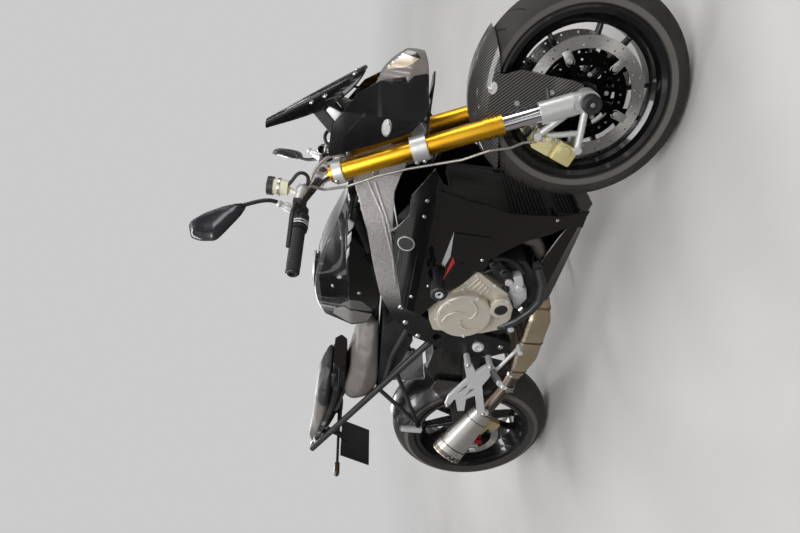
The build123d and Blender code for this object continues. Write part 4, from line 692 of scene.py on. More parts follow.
    def build(self) -> None:
        """Set the stage."""
        bpy.context.scene.view_settings.view_transform = "Standard"
        self.camera()
        self.floor()
        self.lamp("key", (1.6, -2.6, 3.4), (0.0, 0.0, 0.5), (2.2, 1.2), 90.0)
        self.lamp("top", (-0.4, 0.2, 3.6), (0.0, 0.0, 0.4), (3.4, 0.5), 70.0)
        self.lamp("fill", (3.4, 1.2, 1.6), (0.3, 0.0, 0.6), (1.0, 2.2), 35.0)
        self.lamp("rim", (-3.2, 2.2, 2.2), (-0.2, 0.0, 0.6), (1.4, 1.4), 40.0)
        self.world()
        LOG.info("studio is set")


# Modelling helpers
def deselect() -> None:
    """Leave edit mode and select nothing."""
    if bpy.context.object is not None and bpy.context.object.mode != "OBJECT":
        bpy.ops.object.mode_set(mode="OBJECT")
    bpy.ops.object.select_all(action="DESELECT")


def pick(piece: Thing) -> None:
    """Select one piece and make it the active one."""
    deselect()
    piece.select_set(True)
    bpy.context.view_layer.objects.active = piece


def settle(piece: Thing, finish: Finish, replaces: Iterable[str] = ()) -> Thing:
    """Put a piece that was modelled upright where the parked machine has it, and hand it over.

    Args:
        piece: The piece, in metres, on the upright machine.
        finish: Its material, which also says what carries it.
        replaces: CAD nodes it stands for.

    Returns:
        The piece.
    """
    bpy.context.view_layer.update()
    piece.data.transform(finish.hold.place() @ piece.matrix_world)
    piece.matrix_world = Matrix.Identity(4)
    piece.data.materials.clear()
    piece.data.materials.append(finish.material())
    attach(piece, finish.hold.value)
    names = list(replaces)
    if names:
        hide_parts(*names)
    return piece


def aim(at: Sequence[float], axis: Sequence[float]) -> Matrix:
    """Matrix that stands a model of the origin at a place, with its Z along an axis.

    Args:
        at: The place, in mm on the upright machine.
        axis: The direction.

    Returns:
        The matrix.
    """
    return Matrix.Translation(Vector(at) * MM) @ Vector(axis).to_track_quat("Z", "Y").to_matrix().to_4x4()


def finish_shape(piece: Thing, angle: float = SOFT_ANGLE) -> Thing:
    """Merge what touches, point the faces outwards and smooth them by angle, then put the place in the mesh."""
    bpy.ops.mesh.select_all(action="SELECT")
    bpy.ops.mesh.remove_doubles(threshold=MERGE)
    bpy.ops.mesh.normals_make_consistent(inside=False)
    bpy.ops.object.mode_set(mode="OBJECT")
    bpy.ops.object.shade_smooth_by_angle(angle=math.radians(angle))
    bpy.ops.object.transform_apply(location=True, rotation=True, scale=True)
    return piece


def chain(name: str, points: Sequence[Sequence[float]]) -> Thing:
    """Line of edges through points, left in edit mode with all of it selected.

    Args:
        name: The piece's name.
        points: Points in mm on the upright machine.

    Returns:
        The piece.
    """
    deselect()
    bpy.ops.mesh.primitive_plane_add(size=0.001, location=Vector(points[0]) * MM)
    piece = bpy.context.object
    piece.name = piece.data.name = name
    bpy.ops.object.mode_set(mode="EDIT")
    bpy.ops.mesh.select_all(action="SELECT")
    bpy.ops.mesh.merge(type="CENTER")
    bpy.ops.mesh.select_all(action="SELECT")
    for start, end in zip(points, points[1:]):
        bpy.ops.mesh.extrude_vertices_move(TRANSFORM_OT_translate={"value": (Vector(end) - Vector(start)) * MM})
    bpy.ops.mesh.select_all(action="SELECT")
    return piece


def plate(name: str, outline: Sequence[Sequence[float]], depth: Sequence[float],
          bevel: float = 0.0) -> Thing:
    """Flat piece: a closed outline, thickened, with its edges rounded.

    Args:
        name: The piece's name.
        outline: Its corners in mm.
        depth: How far and which way it is thickened, in mm.
        bevel: Width of the rounding, in mm.

    Returns:
        The piece.
    """
    piece = chain(name, outline)
    bpy.ops.mesh.edge_face_add()
    bpy.ops.mesh.extrude_region_move(TRANSFORM_OT_translate={"value": Vector(depth) * MM})
    bpy.ops.mesh.select_all(action="SELECT")
    if bevel:
        bpy.ops.mesh.bevel(offset=bevel * MM, segments=2, affect="EDGES")
    return finish_shape(piece)


def lathe(name: str, profile: Sequence[Flat], at: Sequence[float], axis: Sequence[float],
          steps: int = 40) -> Thing:
    """Turned piece.

    Args:
        name: The piece's name.
        profile: Radius and height of each corner, in mm.
        at: Where its base stands.
        axis: Which way its height goes.
        steps: Faces round it.

    Returns:
        The piece.
    """
    piece = chain(name, [(radius, 0.0, height) for radius, height in profile])
    bpy.ops.mesh.spin(steps=steps, angle=2 * math.pi, center=(0, 0, 0), axis=(0, 0, 1))
    finish_shape(piece)
    piece.data.transform(aim(at, axis))
    return piece


def hose(name: str, points: Sequence[Sequence[float]], radius: float, rounds: int = 3) -> Thing:
    """Smooth round line through points, such as a hose, a cable or a rail.

    Args:
        name: The piece's name.
        points: Points in mm.
        radius: Its radius in mm.
        rounds: How finely it is round.

    Returns:
        The piece.
    """
    chain(name, points)
    bpy.ops.object.mode_set(mode="OBJECT")
    bpy.ops.object.convert(target="CURVE")
    piece = bpy.context.object
    bpy.ops.object.mode_set(mode="EDIT")
    bpy.ops.curve.select_all(action="SELECT")
    bpy.ops.curve.spline_type_set(type="NURBS")
    bpy.ops.object.mode_set(mode="OBJECT")
    for spline in piece.data.splines:
        spline.order_u = min(4, len(points))
        spline.use_endpoint_u = True
        spline.resolution_u = 5
    piece.data.dimensions = "3D"
    piece.data.bevel_depth = radius * MM
    piece.data.bevel_resolution = rounds
    piece.data.use_fill_caps = True
    bpy.ops.object.convert(target="MESH")
    piece = bpy.context.object
    piece.name = piece.data.name = name
    bpy.ops.object.mode_set(mode="EDIT")
    return finish_shape(piece, 50.0)


def copied(name: str, source: Thing, move: Matrix) -> Thing:
    """A copy of a piece's mesh, moved, under a new name."""
    piece = bpy.data.objects.new(name, source.data.copy())
    bpy.context.scene.collection.objects.link(piece)
    piece.data.name = name
    piece.data.transform(move)
    return piece


def joined(name: str, parts: Sequence[Thing]) -> Thing:
    """Join parts into one piece."""
    pick(parts[0])
    for part in parts:
        part.select_set(True)
    bpy.ops.object.join()
    piece = bpy.context.object
    piece.name = piece.data.name = name
    return piece


def scattered(name: str, model: Thing, places: Sequence[Matrix]) -> Thing:
    """Copies of a model of the origin, each with its own mesh, joined into one piece."""
    twins = []
    for place in places:
        twin = model.copy()
        twin.data = model.data.copy()
        twin.data.transform(place)
        bpy.context.scene.collection.objects.link(twin)
        twins.append(twin)
    bpy.data.objects.remove(model)
    return joined(name, twins)


def mirrored(piece: Thing) -> Thing:
    """A copy of a piece on the machine's other side."""
    twin = piece.copy()
    twin.data = piece.data.copy()
    twin.name = twin.data.name = piece.name + "_left"
    bpy.context.scene.collection.objects.link(twin)
    twin.data.transform(Matrix.Diagonal((1.0, -1.0, 1.0, 1.0)))
    pick(twin)
    bpy.ops.object.mode_set(mode="EDIT")
    return finish_shape(twin)


def both(piece: Thing) -> Thing:
    """A piece and its mirror image as one."""
    return joined(piece.name, [piece, mirrored(piece)])


def pair(piece: Thing, finish: Finish) -> Thing:
    """Hand over a piece and its mirror image as one."""
    return settle(both(piece), finish)


@dataclass(frozen=True)
class Fastener:
    """Button head with a round recess, modelled once and copied."""

    radius: float = 5.0
    height: float = 3.2
    washer: float = 0.0

    def model(self) -> Thing:
        """The head, standing on the origin."""
        r, h = self.radius, self.height
        rim = [(r + self.washer, 0.0), (r + self.washer, h * 0.3), (r, h * 0.32)] if self.washer else [(r, -1.0)]
        profile = [*rim, (r, h * 0.6), (r * 0.78, h), (r * 0.5, h), (r * 0.44, h * 0.35), (0.0, h * 0.35)]
        return lathe("fastener", profile, (0, 0, 0), (0, 0, 1), 14)

    def set(self, name: str, rows: Sequence[tuple[Sequence[float], Sequence[float]]]) -> Thing:
        """Fasteners at places.

        Args:
            name: The piece's name.
            rows: Place in mm and outward direction of each.

        Returns:
            The piece.
        """
        return scattered(name, self.model(), [aim(at, axis) for at, axis in rows])


SURFACES: dict[str, BVHTree] = {}


def landed(node: str, start: Sequence[float], along: Sequence[float], hold: Hold) -> tuple[Vector, Vector]:
    """Where a line from a point beside the upright machine meets a CAD node, or the node's nearest place.

    Args:
        node: The node.
        start: The point, in mm.
        along: Which way the line goes.
        hold: What carries the node.

    Returns:
        The place in mm and the surface's outward direction.
    """
    if node not in SURFACES:
        mesh = frame["nodes"][node].data
        SURFACES[node] = BVHTree.FromPolygons([v.co for v in mesh.vertices], [p.vertices for p in mesh.polygons])
    place = hold.place()
    turn = place.to_3x3()
    hit, normal, _, _ = SURFACES[node].ray_cast(place @ (Vector(start) * MM), turn @ Vector(along))
    if hit is None:
        hit, normal, _, _ = SURFACES[node].find_nearest(place @ (Vector(start) * MM))
    at = (place.inverted() @ hit) / MM
    facing = turn.inverted() @ normal
    return at, facing if facing.dot(Vector(along)) < 0 else -facing


def patch(name: str, outline: Sequence[Sequence[float]], hold: Hold, node: str, lift: float, wall: float,
          cuts: int) -> Thing:
    """Thin piece that hugs a CAD node.

    Args:
        name: The piece's name.
        outline: Corners in mm, to the right of the node.
        hold: What carries the node.
        node: The node.
        lift: Distance from the surface, in mm.
        wall: Thickness, in mm.
        cuts: How finely it is divided.

    Returns:
        The piece, on the upright machine.
    """
    piece = chain(name, outline)
    bpy.ops.mesh.edge_face_add()
    bpy.ops.mesh.quads_convert_to_tris(quad_method="BEAUTY", ngon_method="BEAUTY")
    bpy.ops.mesh.subdivide(number_cuts=cuts)
    bpy.ops.object.mode_set(mode="OBJECT")
    bpy.ops.object.transform_apply(location=True, rotation=True, scale=True)
    if sum((p.normal * p.area for p in piece.data.polygons), Vector()).y > 0:
        bpy.ops.object.mode_set(mode="EDIT")
        bpy.ops.mesh.flip_normals()
        bpy.ops.object.mode_set(mode="OBJECT")
    piece.matrix_world = hold.place()
    wrap = piece.modifiers.new("wrap", "SHRINKWRAP")
    wrap.target = frame["nodes"][node]
    wrap.wrap_method = "PROJECT"
    wrap.wrap_mode = "ABOVE_SURFACE"
    wrap.use_project_y = True
    wrap.offset = lift * MM
    before = [v.co.copy() for v in piece.data.vertices]
    bpy.ops.object.modifier_apply(modifier="wrap")
    missed = [v.index for v, start in zip(piece.data.vertices, before) if (v.co - start).length < 0.0005]
    if missed:
        LOG.info("%s: %d of %d corners lie beside %s", name, len(missed), len(before), node)
        bpy.ops.object.mode_set(mode="EDIT")
        bpy.ops.mesh.select_all(action="DESELECT")
        bpy.ops.object.mode_set(mode="OBJECT")
        for index in missed:
            piece.data.vertices[index].select = True
        bpy.ops.object.mode_set(mode="EDIT")
        bpy.ops.mesh.delete(type="VERT")
        bpy.ops.object.mode_set(mode="OBJECT")
    thicken(piece, wall)
    piece.matrix_world = Matrix.Identity(4)
    return piece


def thicken(piece: Thing, wall: float) -> None:
    """Give a skin a wall towards its outside, in mm."""
    solid = piece.modifiers.new("wall", "SOLIDIFY")
    solid.thickness = wall * MM
    solid.offset = 1.0
    bpy.ops.object.modifier_apply(modifier="wall")
    bpy.ops.object.shade_smooth_by_angle(angle=math.radians(SOFT_ANGLE))


def slice_band(name: str, source: Thing, back: Matrix, at: Sequence[float], axis: Sequence[float],
               length: float, wall: float = 1.4) -> Thing:
    """Band round a piece or a CAD node: a slice of its skin, thickened outwards.

    Args:
        name: The band's name.
        source: What it goes round, which stays as it is.
        back: Matrix from the source to the upright machine.
        at: Middle of the band, in mm on the upright machine.
        axis: Which way the source runs there.
        length: The band's width along the axis, in mm.
        wall: Its thickness, in mm.

    Returns:
        The band, on the upright machine.
    """
    piece = copied(name, source, back)
    pick(piece)
    bpy.ops.object.mode_set(mode="EDIT")
    bpy.ops.mesh.select_all(action="SELECT")
    bpy.ops.mesh.remove_doubles(threshold=MERGE)
    along = Vector(axis).normalized()
    for way in (-0.5, 0.5):
        bpy.ops.mesh.select_all(action="SELECT")
        bpy.ops.mesh.bisect(plane_co=(Vector(at) + along * (length * way)) * MM, plane_no=along * (way * 2),
                            clear_outer=True)
    bpy.ops.mesh.select_all(action="SELECT")
    bpy.ops.mesh.normals_make_consistent(inside=False)
    bpy.ops.object.mode_set(mode="OBJECT")
    thicken(piece, wall)
    return piece


def in_plane(y: float, points: Iterable[Flat]) -> list[Point]:
    """Points of a plane beside the machine."""
    return [(x, y, z) for x, z in points]


def oval(centre: Flat, wide: float, high: float, count: int = 24) -> list[Flat]:
    """Corners of an ellipse: X and Z in mm."""
    turns = (2 * math.pi * i / count for i in range(count))
    return [(centre[0] + wide * math.cos(a), centre[1] + high * math.sin(a)) for a in turns]


# Sub-assemblies
class SubAssembly:
    """A part of the motorcycle: the finishes of its CAD nodes, and the pieces modelled on them."""

    NODES: ClassVar[dict[str, Finish]] = {}
    BESIDE: ClassVar[float] = -260.0

    def spots(self, node: str, places: Iterable[Flat]) -> list[tuple[Vector, Vector]]:
        """Places on the right of a node, each with the direction it faces.

        Args:
            node: One of the sub-assembly's nodes.
            places: X and Z of each, in mm.

        Returns:
            Place in mm and outward direction of each.
        """
        return [landed(node, (x, self.BESIDE, z), INWARD, self.NODES[node].hold) for x, z in places]

    def hug(self, name: str, node: str, outline: Iterable[Flat], lift: float, wall: float,
            cuts: int) -> Thing:
        """Thin piece on the right of a node.

        Args:
            name: The piece's name.
            node: One of the sub-assembly's nodes.
            outline: X and Z of its corners, in mm.
            lift: Distance from the surface, in mm.
            wall: Thickness, in mm.
            cuts: How finely it is divided.

        Returns:
            The piece, on the upright machine.
        """
        return patch(name, in_plane(self.BESIDE, outline), self.NODES[node].hold, node, lift, wall, cuts)

    def dress(self) -> None:
        """Give the CAD nodes their finishes."""
        for name, finish in self.NODES.items():
            node = frame["nodes"][name]
            node.data.materials.clear()
            node.data.materials.append(finish.material())

    def build(self) -> list[Thing]:
        """Model the pieces.

        Returns:
            The finished pieces.
        """
        return []


@dataclass
class Seats(SubAssembly):
    """Two soft seats over their tray."""

    voxel: float = 5.0
    pressure: float = 4.0
    shrink: float = 0.975
    cap: float = 9.0
    NODES: ClassVar[dict[str, Finish]] = {
        "rider_seat": SEAT_TAUPE, "passenger_seat": SEAT_REAR, "seat_base": SATIN_BLACK, "rear_subframe": SATIN_BLACK,
        "splash_guard": CLEAR,
    }

    def cushion(self, name: str, node: str) -> Thing:
        """One seat swollen by cloth from its plain solid, flat where it rests.

        Args:
            name: The piece's name.
            node: The CAD node it stands for.

        Returns:
            The piece, as parked.
        """
        source = frame["nodes"][node]
        low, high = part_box(node)
        centre = Vector(((low.x + high.x) / 2, (low.y + high.y) / 2, low.z))
        piece = copied(name, source, Matrix.Translation(centre) @ Matrix.Scale(self.shrink, 4)
                       @ Matrix.Translation(-centre))
        pick(piece)
        bpy.ops.object.mode_set(mode="EDIT")
        finish_shape(piece)
        remesh = piece.modifiers.new("remesh", "REMESH")
        remesh.mode = "VOXEL"
        remesh.voxel_size = self.voxel * MM
        bpy.ops.object.modifier_apply(modifier="remesh")
        self.swell(piece)
        smooth = piece.modifiers.new("smooth", "SMOOTH")
        smooth.factor, smooth.iterations = 0.5, 16
        bpy.ops.object.modifier_apply(modifier="smooth")
        fine = piece.modifiers.new("fine", "SUBSURF")
        fine.levels = fine.render_levels = 1
        bpy.ops.object.modifier_apply(modifier="fine")
        bpy.ops.object.shade_smooth()
        return piece

    def swell(self, piece: Thing) -> None:
        """Blow the cushion up a little with cloth, its underside held still."""
        down = STANCE.parked.to_3x3() @ Vector((0, 0, -1))
        held = [v.index for v in piece.data.vertices if v.normal.dot(down) > 0.6]
        rest = [v.co.copy() for v in piece.data.vertices]
        pins = piece.vertex_groups.new(name="pins")
        pins.add(held, 1.0, "REPLACE")
        cloth = piece.modifiers.new("cloth", "CLOTH")
        cloth.settings.use_pressure = True
        cloth.settings.uniform_pressure_force = self.pressure
        cloth.settings.effector_weights.gravity = 0.0
        cloth.settings.vertex_group_mass = "pins"
        cloth.settings.quality = 5
        for step in range(1, 21):
            bpy.context.scene.frame_set(step)
        bpy.ops.object.modifier_apply(modifier="cloth")
        bpy.context.scene.frame_set(1)
        for vertex, start in zip(piece.data.vertices, rest):
            move = vertex.co - start
            if move.length > self.cap * MM:
                vertex.co = start + move.normalized() * self.cap * MM

    def build(self) -> list[Thing]:
        """Both cushions, the passenger's black front pad and the block under it."""
        pieces = []
        for name, node, cover in (("rider_cushion", "rider_seat", SEAT_TAUPE),
                                  ("passenger_cushion", "passenger_seat", SEAT_REAR)):
            piece = self.cushion(name, node)
            piece.data.materials.clear()
            piece.data.materials.append(cover.material())
            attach(piece, "frame")
            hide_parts(node)
            pieces.append(piece)
        block = plate("passenger_stop", in_plane(-84, [(-428, 912), (-584, 905), (-536, 854), (-400, 864)]),
                      (0, 168, 0), 4)
        ribs = [plate("stop_rib", in_plane(-86, [(-440, 902 - i * 8), (-560, 896 - i * 8), (-560, 893 - i * 8),
                                                 (-440, 899 - i * 8)]), (0, 172, 0), 0.8) for i in range(4)]
        pieces.append(settle(joined("passenger_stop", [block, *ribs]), SATIN_BLACK))
        return pieces


@dataclass
class Tank(SubAssembly):
    """Fuel tank with its cap, knee pads, trims and gills."""

    cap_at: Point = (11.0, 0.0, 1001.5)
    cap_radius: float = 62.0
    NODES: ClassVar[dict[str, Finish]] = {"fuel_tank": TANK_BLACK}

    def build(self) -> list[Thing]:
        """Cap, pads, trims, gills and bolts."""
        r = self.cap_radius
        tilt = (-0.04, 0.0, 1.0)
        ring = lathe("cap_ring", [(r - 12, -3), (r - 12, 2), (r - 8, 3.5), (r - 2, 3), (r, -3), (r - 12, -3)],
                     self.cap_at, tilt, 56)
        lid = lathe("cap_lid", [(r - 13, -2), (r - 13, 1), (r - 18, 3), (16, 4.5), (14, 2.5), (0, 2.5)], self.cap_at,
                    tilt, 48)
        rim_bolts = [((self.cap_at[0] + (r - 6) * math.cos(a), (r - 6) * math.sin(a), self.cap_at[2] + 3), tilt)
                     for a in (math.radians(30 + 60 * i) for i in range(6))]
        pieces = [
            settle(ring, BRACKET_SILVER),
            settle(lid, SATIN_BLACK),
            settle(Fastener(3.2, 2.2).set("cap_bolts", rim_bolts), STEEL),
        ]
        gills = [
            [(182, 897), (212, 899), (232, 892), (205, 891)], [(224, 897), (257, 900), (276, 890), (247, 889)],
            [(264, 898), (307, 904), (295, 885), (280, 887)],
        ]
        bars = []
        for i, points in enumerate(gills):
            y = min(at.y for at, _ in self.spots("fuel_tank", points))
            bars.append(plate(f"gill_{i}", in_plane(y - 5, [(x, z + 4) for x, z in points]), (0, 10, 0), 0.6))
        knee = self.hug("knee_pads", "fuel_tank", [
            (-104, 925), (-63, 921), (-24, 891), (-41, 846), (-72, 797), (-120, 808), (-126, 862)],
                        lift=0.6, wall=2.4, cuts=8)
        trim = self.hug("tank_trims", "fuel_tank", [
            (-40, 912), (-2, 894), (26, 876), (15, 840), (-30, 806), (-52, 800), (-32, 846), (-16, 890)],
                        lift=0.5, wall=1.6, cuts=8)
        dots = self.spots("fuel_tank", ((45, 936), (54, 851), (334, 878)))
        pieces += [
            pair(joined("tank_gills", bars), BRACKET_SILVER),
            pair(knee, KNEE),
            pair(trim, GREY_PANEL),
            pair(Fastener(5.0, 3.0, 1.2).set("tank_bolts", dots), STEEL),
        ]
        return pieces


@dataclass
class Fairings(SubAssembly):
    """Side fairings and belly pan with their fasteners, plain round badge and stripes."""

    badge_at: Flat = (299.0, 737.0)
    badge_radius: float = 25.0
    NODES: ClassVar[dict[str, Finish]] = {"side_fairings": BLACK, "belly_pan": BLACK, "crash_bobbins": SATIN_BLACK}
    BESIDE: ClassVar[float] = -270.0

    def build(self) -> list[Thing]:
        """Badge, stripes, bolts and the protectors' end caps."""
        pieces = []
        r = self.badge_radius
        ring = self.hug("badge_rings", "side_fairings", oval(self.badge_at, r, r), lift=0.3, wall=1.6, cuts=2)
        face = self.hug("badge_faces", "side_fairings", oval(self.badge_at, r - 4, r - 4), lift=1.9, wall=0.6, cuts=2)
        pieces.append(pair(ring, STEEL))
        pieces.append(pair(face, BLACK))
        for name, finish, slot, shape in (
                ("stripe_red", RED_PAINT, "red_anodised", [(172, 606), (182, 606), (262, 592), (240, 583)]),
                ("stripe_grey", GREY_PAINT, "silver_cast", [(196, 620), (214, 625), (352, 606), (262, 600)])):
            stripe = self.hug(name, "side_fairings", shape, lift=0.2, wall=0.3, cuts=6)
            pieces.append(pair(stripe, finish))
        creases = [
            [(120, 645), (250, 652), (350, 662), (490, 702), (488, 696), (350, 655), (250, 645), (120, 638)],
            [(350, 604), (334, 495), (303, 456), (298, 460), (326, 498), (342, 602)],
            [(492, 676), (456, 578), (438, 430), (418, 312), (412, 314), (430, 430), (448, 580), (484, 678)],
        ]
        ridges = [self.hug(f"crease_{i}", "side_fairings", crease, lift=0.1, wall=2.6, cuts=6)
                  for i, crease in enumerate(creases)]
        pieces.append(pair(joined("panel_creases", ridges), BLACK))
        spots = self.spots("side_fairings", ((106, 694), (151, 648), (400, 700), (452, 700), (392, 300), (250, 500)))
        pieces.append(pair(Fastener(5.0, 2.6, 1.0).set("fairing_bolts", spots), STEEL))
        cap = lathe("bobbin_caps", [(25, -4), (25, 1), (21, 5), (14, 6), (12, 2), (0, 2)], (205, -311, 632), OUTWARD)
        pieces.append(pair(cap, SATIN_BLACK))
        eye = lathe("bobbin_rings", [(12, 1), (12, 6), (9, 6.5), (8, 3), (5, 3), (4.5, 1), (0, 1)], (205, -311, 632),
                    OUTWARD, 28)
        pieces.append(pair(eye, BRACKET_SILVER))
        return pieces


@dataclass
class Chassis(SubAssembly):
    """Beam frame, pivot, footrests, hangers and stand."""

    NODES: ClassVar[dict[str, Finish]] = {
        "main_frame": SPAR, "pivot_bolt": BRACKET_SILVER, "rider_footrests": BRACKET_SILVER,
        "passenger_hangers": SATIN_BLACK, "side_stand": ENGINE_BLACK,
    }

    def build(self) -> list[Thing]:
        """Ribs and bolts of the frame, pivot caps, passenger pegs, peg rubbers and bracket bolts."""
        pieces = []
        ribs = [self.hug(f"spar_rib_{i}", "main_frame", line, lift=0.2, wall=2.6, cuts=5)
                for i, line in enumerate((
                    [(60, 722), (161, 745), (300, 790), (402, 842), (404, 836), (302, 782), (163, 737), (62, 716)],
                    [(100, 742), (200, 766), (320, 810), (408, 866), (410, 860), (322, 803), (202, 759), (102, 736)]))]
        pieces.append(pair(joined("spar_ribs", ribs), SPAR))
        spots = self.spots("main_frame", ((18, 713), (-47, 690), (-103, 640), (-128, 350), (428, 840)))
        pieces.append(pair(Fastener(8.0, 4.0, 2.0).set("frame_bolts", spots), STEEL))
        hub = lathe("pivot_caps", [(19, -1), (19, 3), (16, 5), (9, 5), (7, 1), (0, 1)], (-131, -177, 428), OUTWARD)
        pieces.append(pair(hub, BRACKET_SILVER))
        brackets = [((x, -219.0, z), OUTWARD) for x, z in ((-178, 458), (-180, 381), (-392, 492), (-428, 352))]
        pieces.append(pair(Fastener(6.5, 5.0, 2.0).set("bracket_bolts", brackets), STEEL))
        pegs = lathe("passenger_pegs", [(12.6, 0), (13.4, 4), (13.0, 30), (11.6, 60), (10.6, 78), (7, 82), (0, 82)],
                     (-562, -200, 560), (14, -12, 80), 24)
        pieces.append(pair(pegs, BRACKET_SILVER))
        start, way = Vector((-193, -222, 371)), Vector((26, -94, -10)).normalized()
        grooves = [(9.5, 0.0)]
        for i in range(8):
            grooves += [(11.8, 8.0 + i * 8), (11.8, 12.0 + i * 8), (10.2, 13.0 + i * 8), (10.2, 15.0 + i * 8)]
        sleeve = lathe("peg_sleeves", [*grooves, (9.5, 74.0)], start, way, 28)
        pieces.append(pair(sleeve, SATIN_BLACK))
        return pieces


@dataclass
class Engine(SubAssembly):
    """Engine covers with their ribs, bolts and fittings, the hose and the radiator."""

    clutch: Flat = (45.0, 518.0)
    BESIDE: ClassVar[float] = -300.0
    NODES: ClassVar[dict[str, Finish]] = {
        "engine_block": ENGINE_BLACK, "clutch_cover": COVER, "left_engine_covers": COVER, "coolant_hose": COOLANT,
        "radiator": CORE,
    }

    def build(self) -> list[Thing]:
        """Swirl ribs, cover bolts, plug, flange, hose clips and the fittings beside the covers."""
        pieces = []
        lines = []
        for arm in range(3):
            turns = [math.radians(120 * arm + 20 + 15 * step) for step in range(7)]
            lines.append([self.round_clutch(a, 16 + 9 * i) for i, a in enumerate(turns)])
        lines += [[(148 - 5 * i, 521 - 15 * i), (186 - 10 * i, 497 - 11 * i)] for i in range(5)]
        beads = []
        for i, line in enumerate(lines):
            points = [at + Vector((0, -1.5, 0)) for at, _ in self.spots("clutch_cover", line)]
            beads.append(hose(f"rib_{i}", points, 3.2, 3))
        pieces.append(settle(joined("clutch_ribs", beads), COVER))
        ring = [self.round_clutch(math.radians(angle), 92) for angle in range(10, 370, 36)]
        outer = [(165, 528), (196, 508), (190, 468), (128, 390), (160, 440), (60, 372)]
        spots = self.spots("clutch_cover", ring + outer)
        pieces.append(settle(Fastener(5.0, 4.0).set("cover_bolts", spots), BRACKET_SILVER))
        at, facing = self.spots("clutch_cover", [(87, 408)])[0]
        flange = lathe("plug_flange", [(34, -6), (34, 3), (30, 5), (22, 5), (21, 1), (34, -6)], at, facing, 36)
        plug = lathe("oil_plug", [(20, -4), (20, 3), (15, 5), (9, 3), (0, 3)], at, facing, 30)
        pieces.append(settle(flange, COVER))
        pieces.append(settle(plug, SATIN_BLACK))
        return pieces + self.fittings()

    def round_clutch(self, angle: float, radius: float) -> Flat:
        """X and Z of a place round the clutch, in mm."""
        return self.clutch[0] + radius * math.cos(angle), self.clutch[1] + radius * math.sin(angle)

    def fittings(self) -> list[Thing]:
        """Pipes, unions and sensors in the space below and ahead of the covers."""
        silver = [
            lathe("union", [(11, 0), (11, 12), (14, 13), (14, 20), (8, 22), (0, 22)], (143, -168, 356), OUTWARD, 18),
            lathe("union", [(9, 0), (9, 16), (12, 17), (12, 24), (0, 25)], (171, -168, 398), OUTWARD, 18),
            lathe("union", [(8, 0), (8, 16), (11, 17), (11, 22), (0, 23)], (-14, -150, 396), OUTWARD, 18),
            lathe("union", [(8, 0), (8, 16), (11, 17), (11, 22), (0, 23)], (-43, -150, 335), OUTWARD, 18),
            lathe("union", [(7, 0), (7, 16), (10, 17), (10, 22), (0, 23)], (38, -150, 366), OUTWARD, 18),
            plate("casting", in_plane(-176, [(52, 340), (70, 372), (118, 384), (150, 372), (140, 330), (100, 318)]),
                  (0, 30, 0), 5),
            plate("casting", in_plane(-182, [(120, 372), (150, 392), (186, 388), (196, 360), (160, 344), (130, 350)]),
                  (0, 34, 0), 5),
        ]
        dark = [
            plate("box", in_plane(-186, [(150, 402), (190, 452), (232, 470), (240, 440), (206, 398), (170, 384)]),
                  (0, 36, 0), 6),
            lathe("switch", [(14, 0), (14, 26), (9, 30), (9, 44), (0, 45)], (204, -172, 420), (0.3, -1, 0.1), 20),
            lathe("switch", [(11, 0), (11, 20), (7, 24), (7, 34), (0, 35)], (228, -170, 462), (0.2, -1, 0), 20),
        ]
        pipes = [
            hose("pipe", [(186, -182, 488), (214, -186, 470), (220, -184, 430), (196, -180, 396), (158, -176, 372)], 5),
            hose("pipe", [(206, -178, 500), (240, -180, 480), (250, -170, 440), (236, -160, 390), (190, -160, 350)], 7),
            hose("pipe", [(150, -186, 410), (120, -192, 392), (96, -188, 366), (60, -176, 356)], 4),
        ]
        clips = [
            lathe("clip", [(15, -4), (16.4, -4), (16.4, 4), (15, 4), (15, -4)], at, axis, 30)
            for at, axis in (((24, -182, 398), (0.2, 0.3, -1)), ((60, -180, 330), (0.7, 0, -0.7)))
        ]
        return [
            settle(joined("engine_castings", silver), BRACKET_SILVER),
            settle(joined("engine_switches", dark), SATIN_BLACK),
            settle(joined("engine_pipes", pipes), HOSE_BLACK),
            settle(joined("hose_clips", clips), STEEL),
        ]


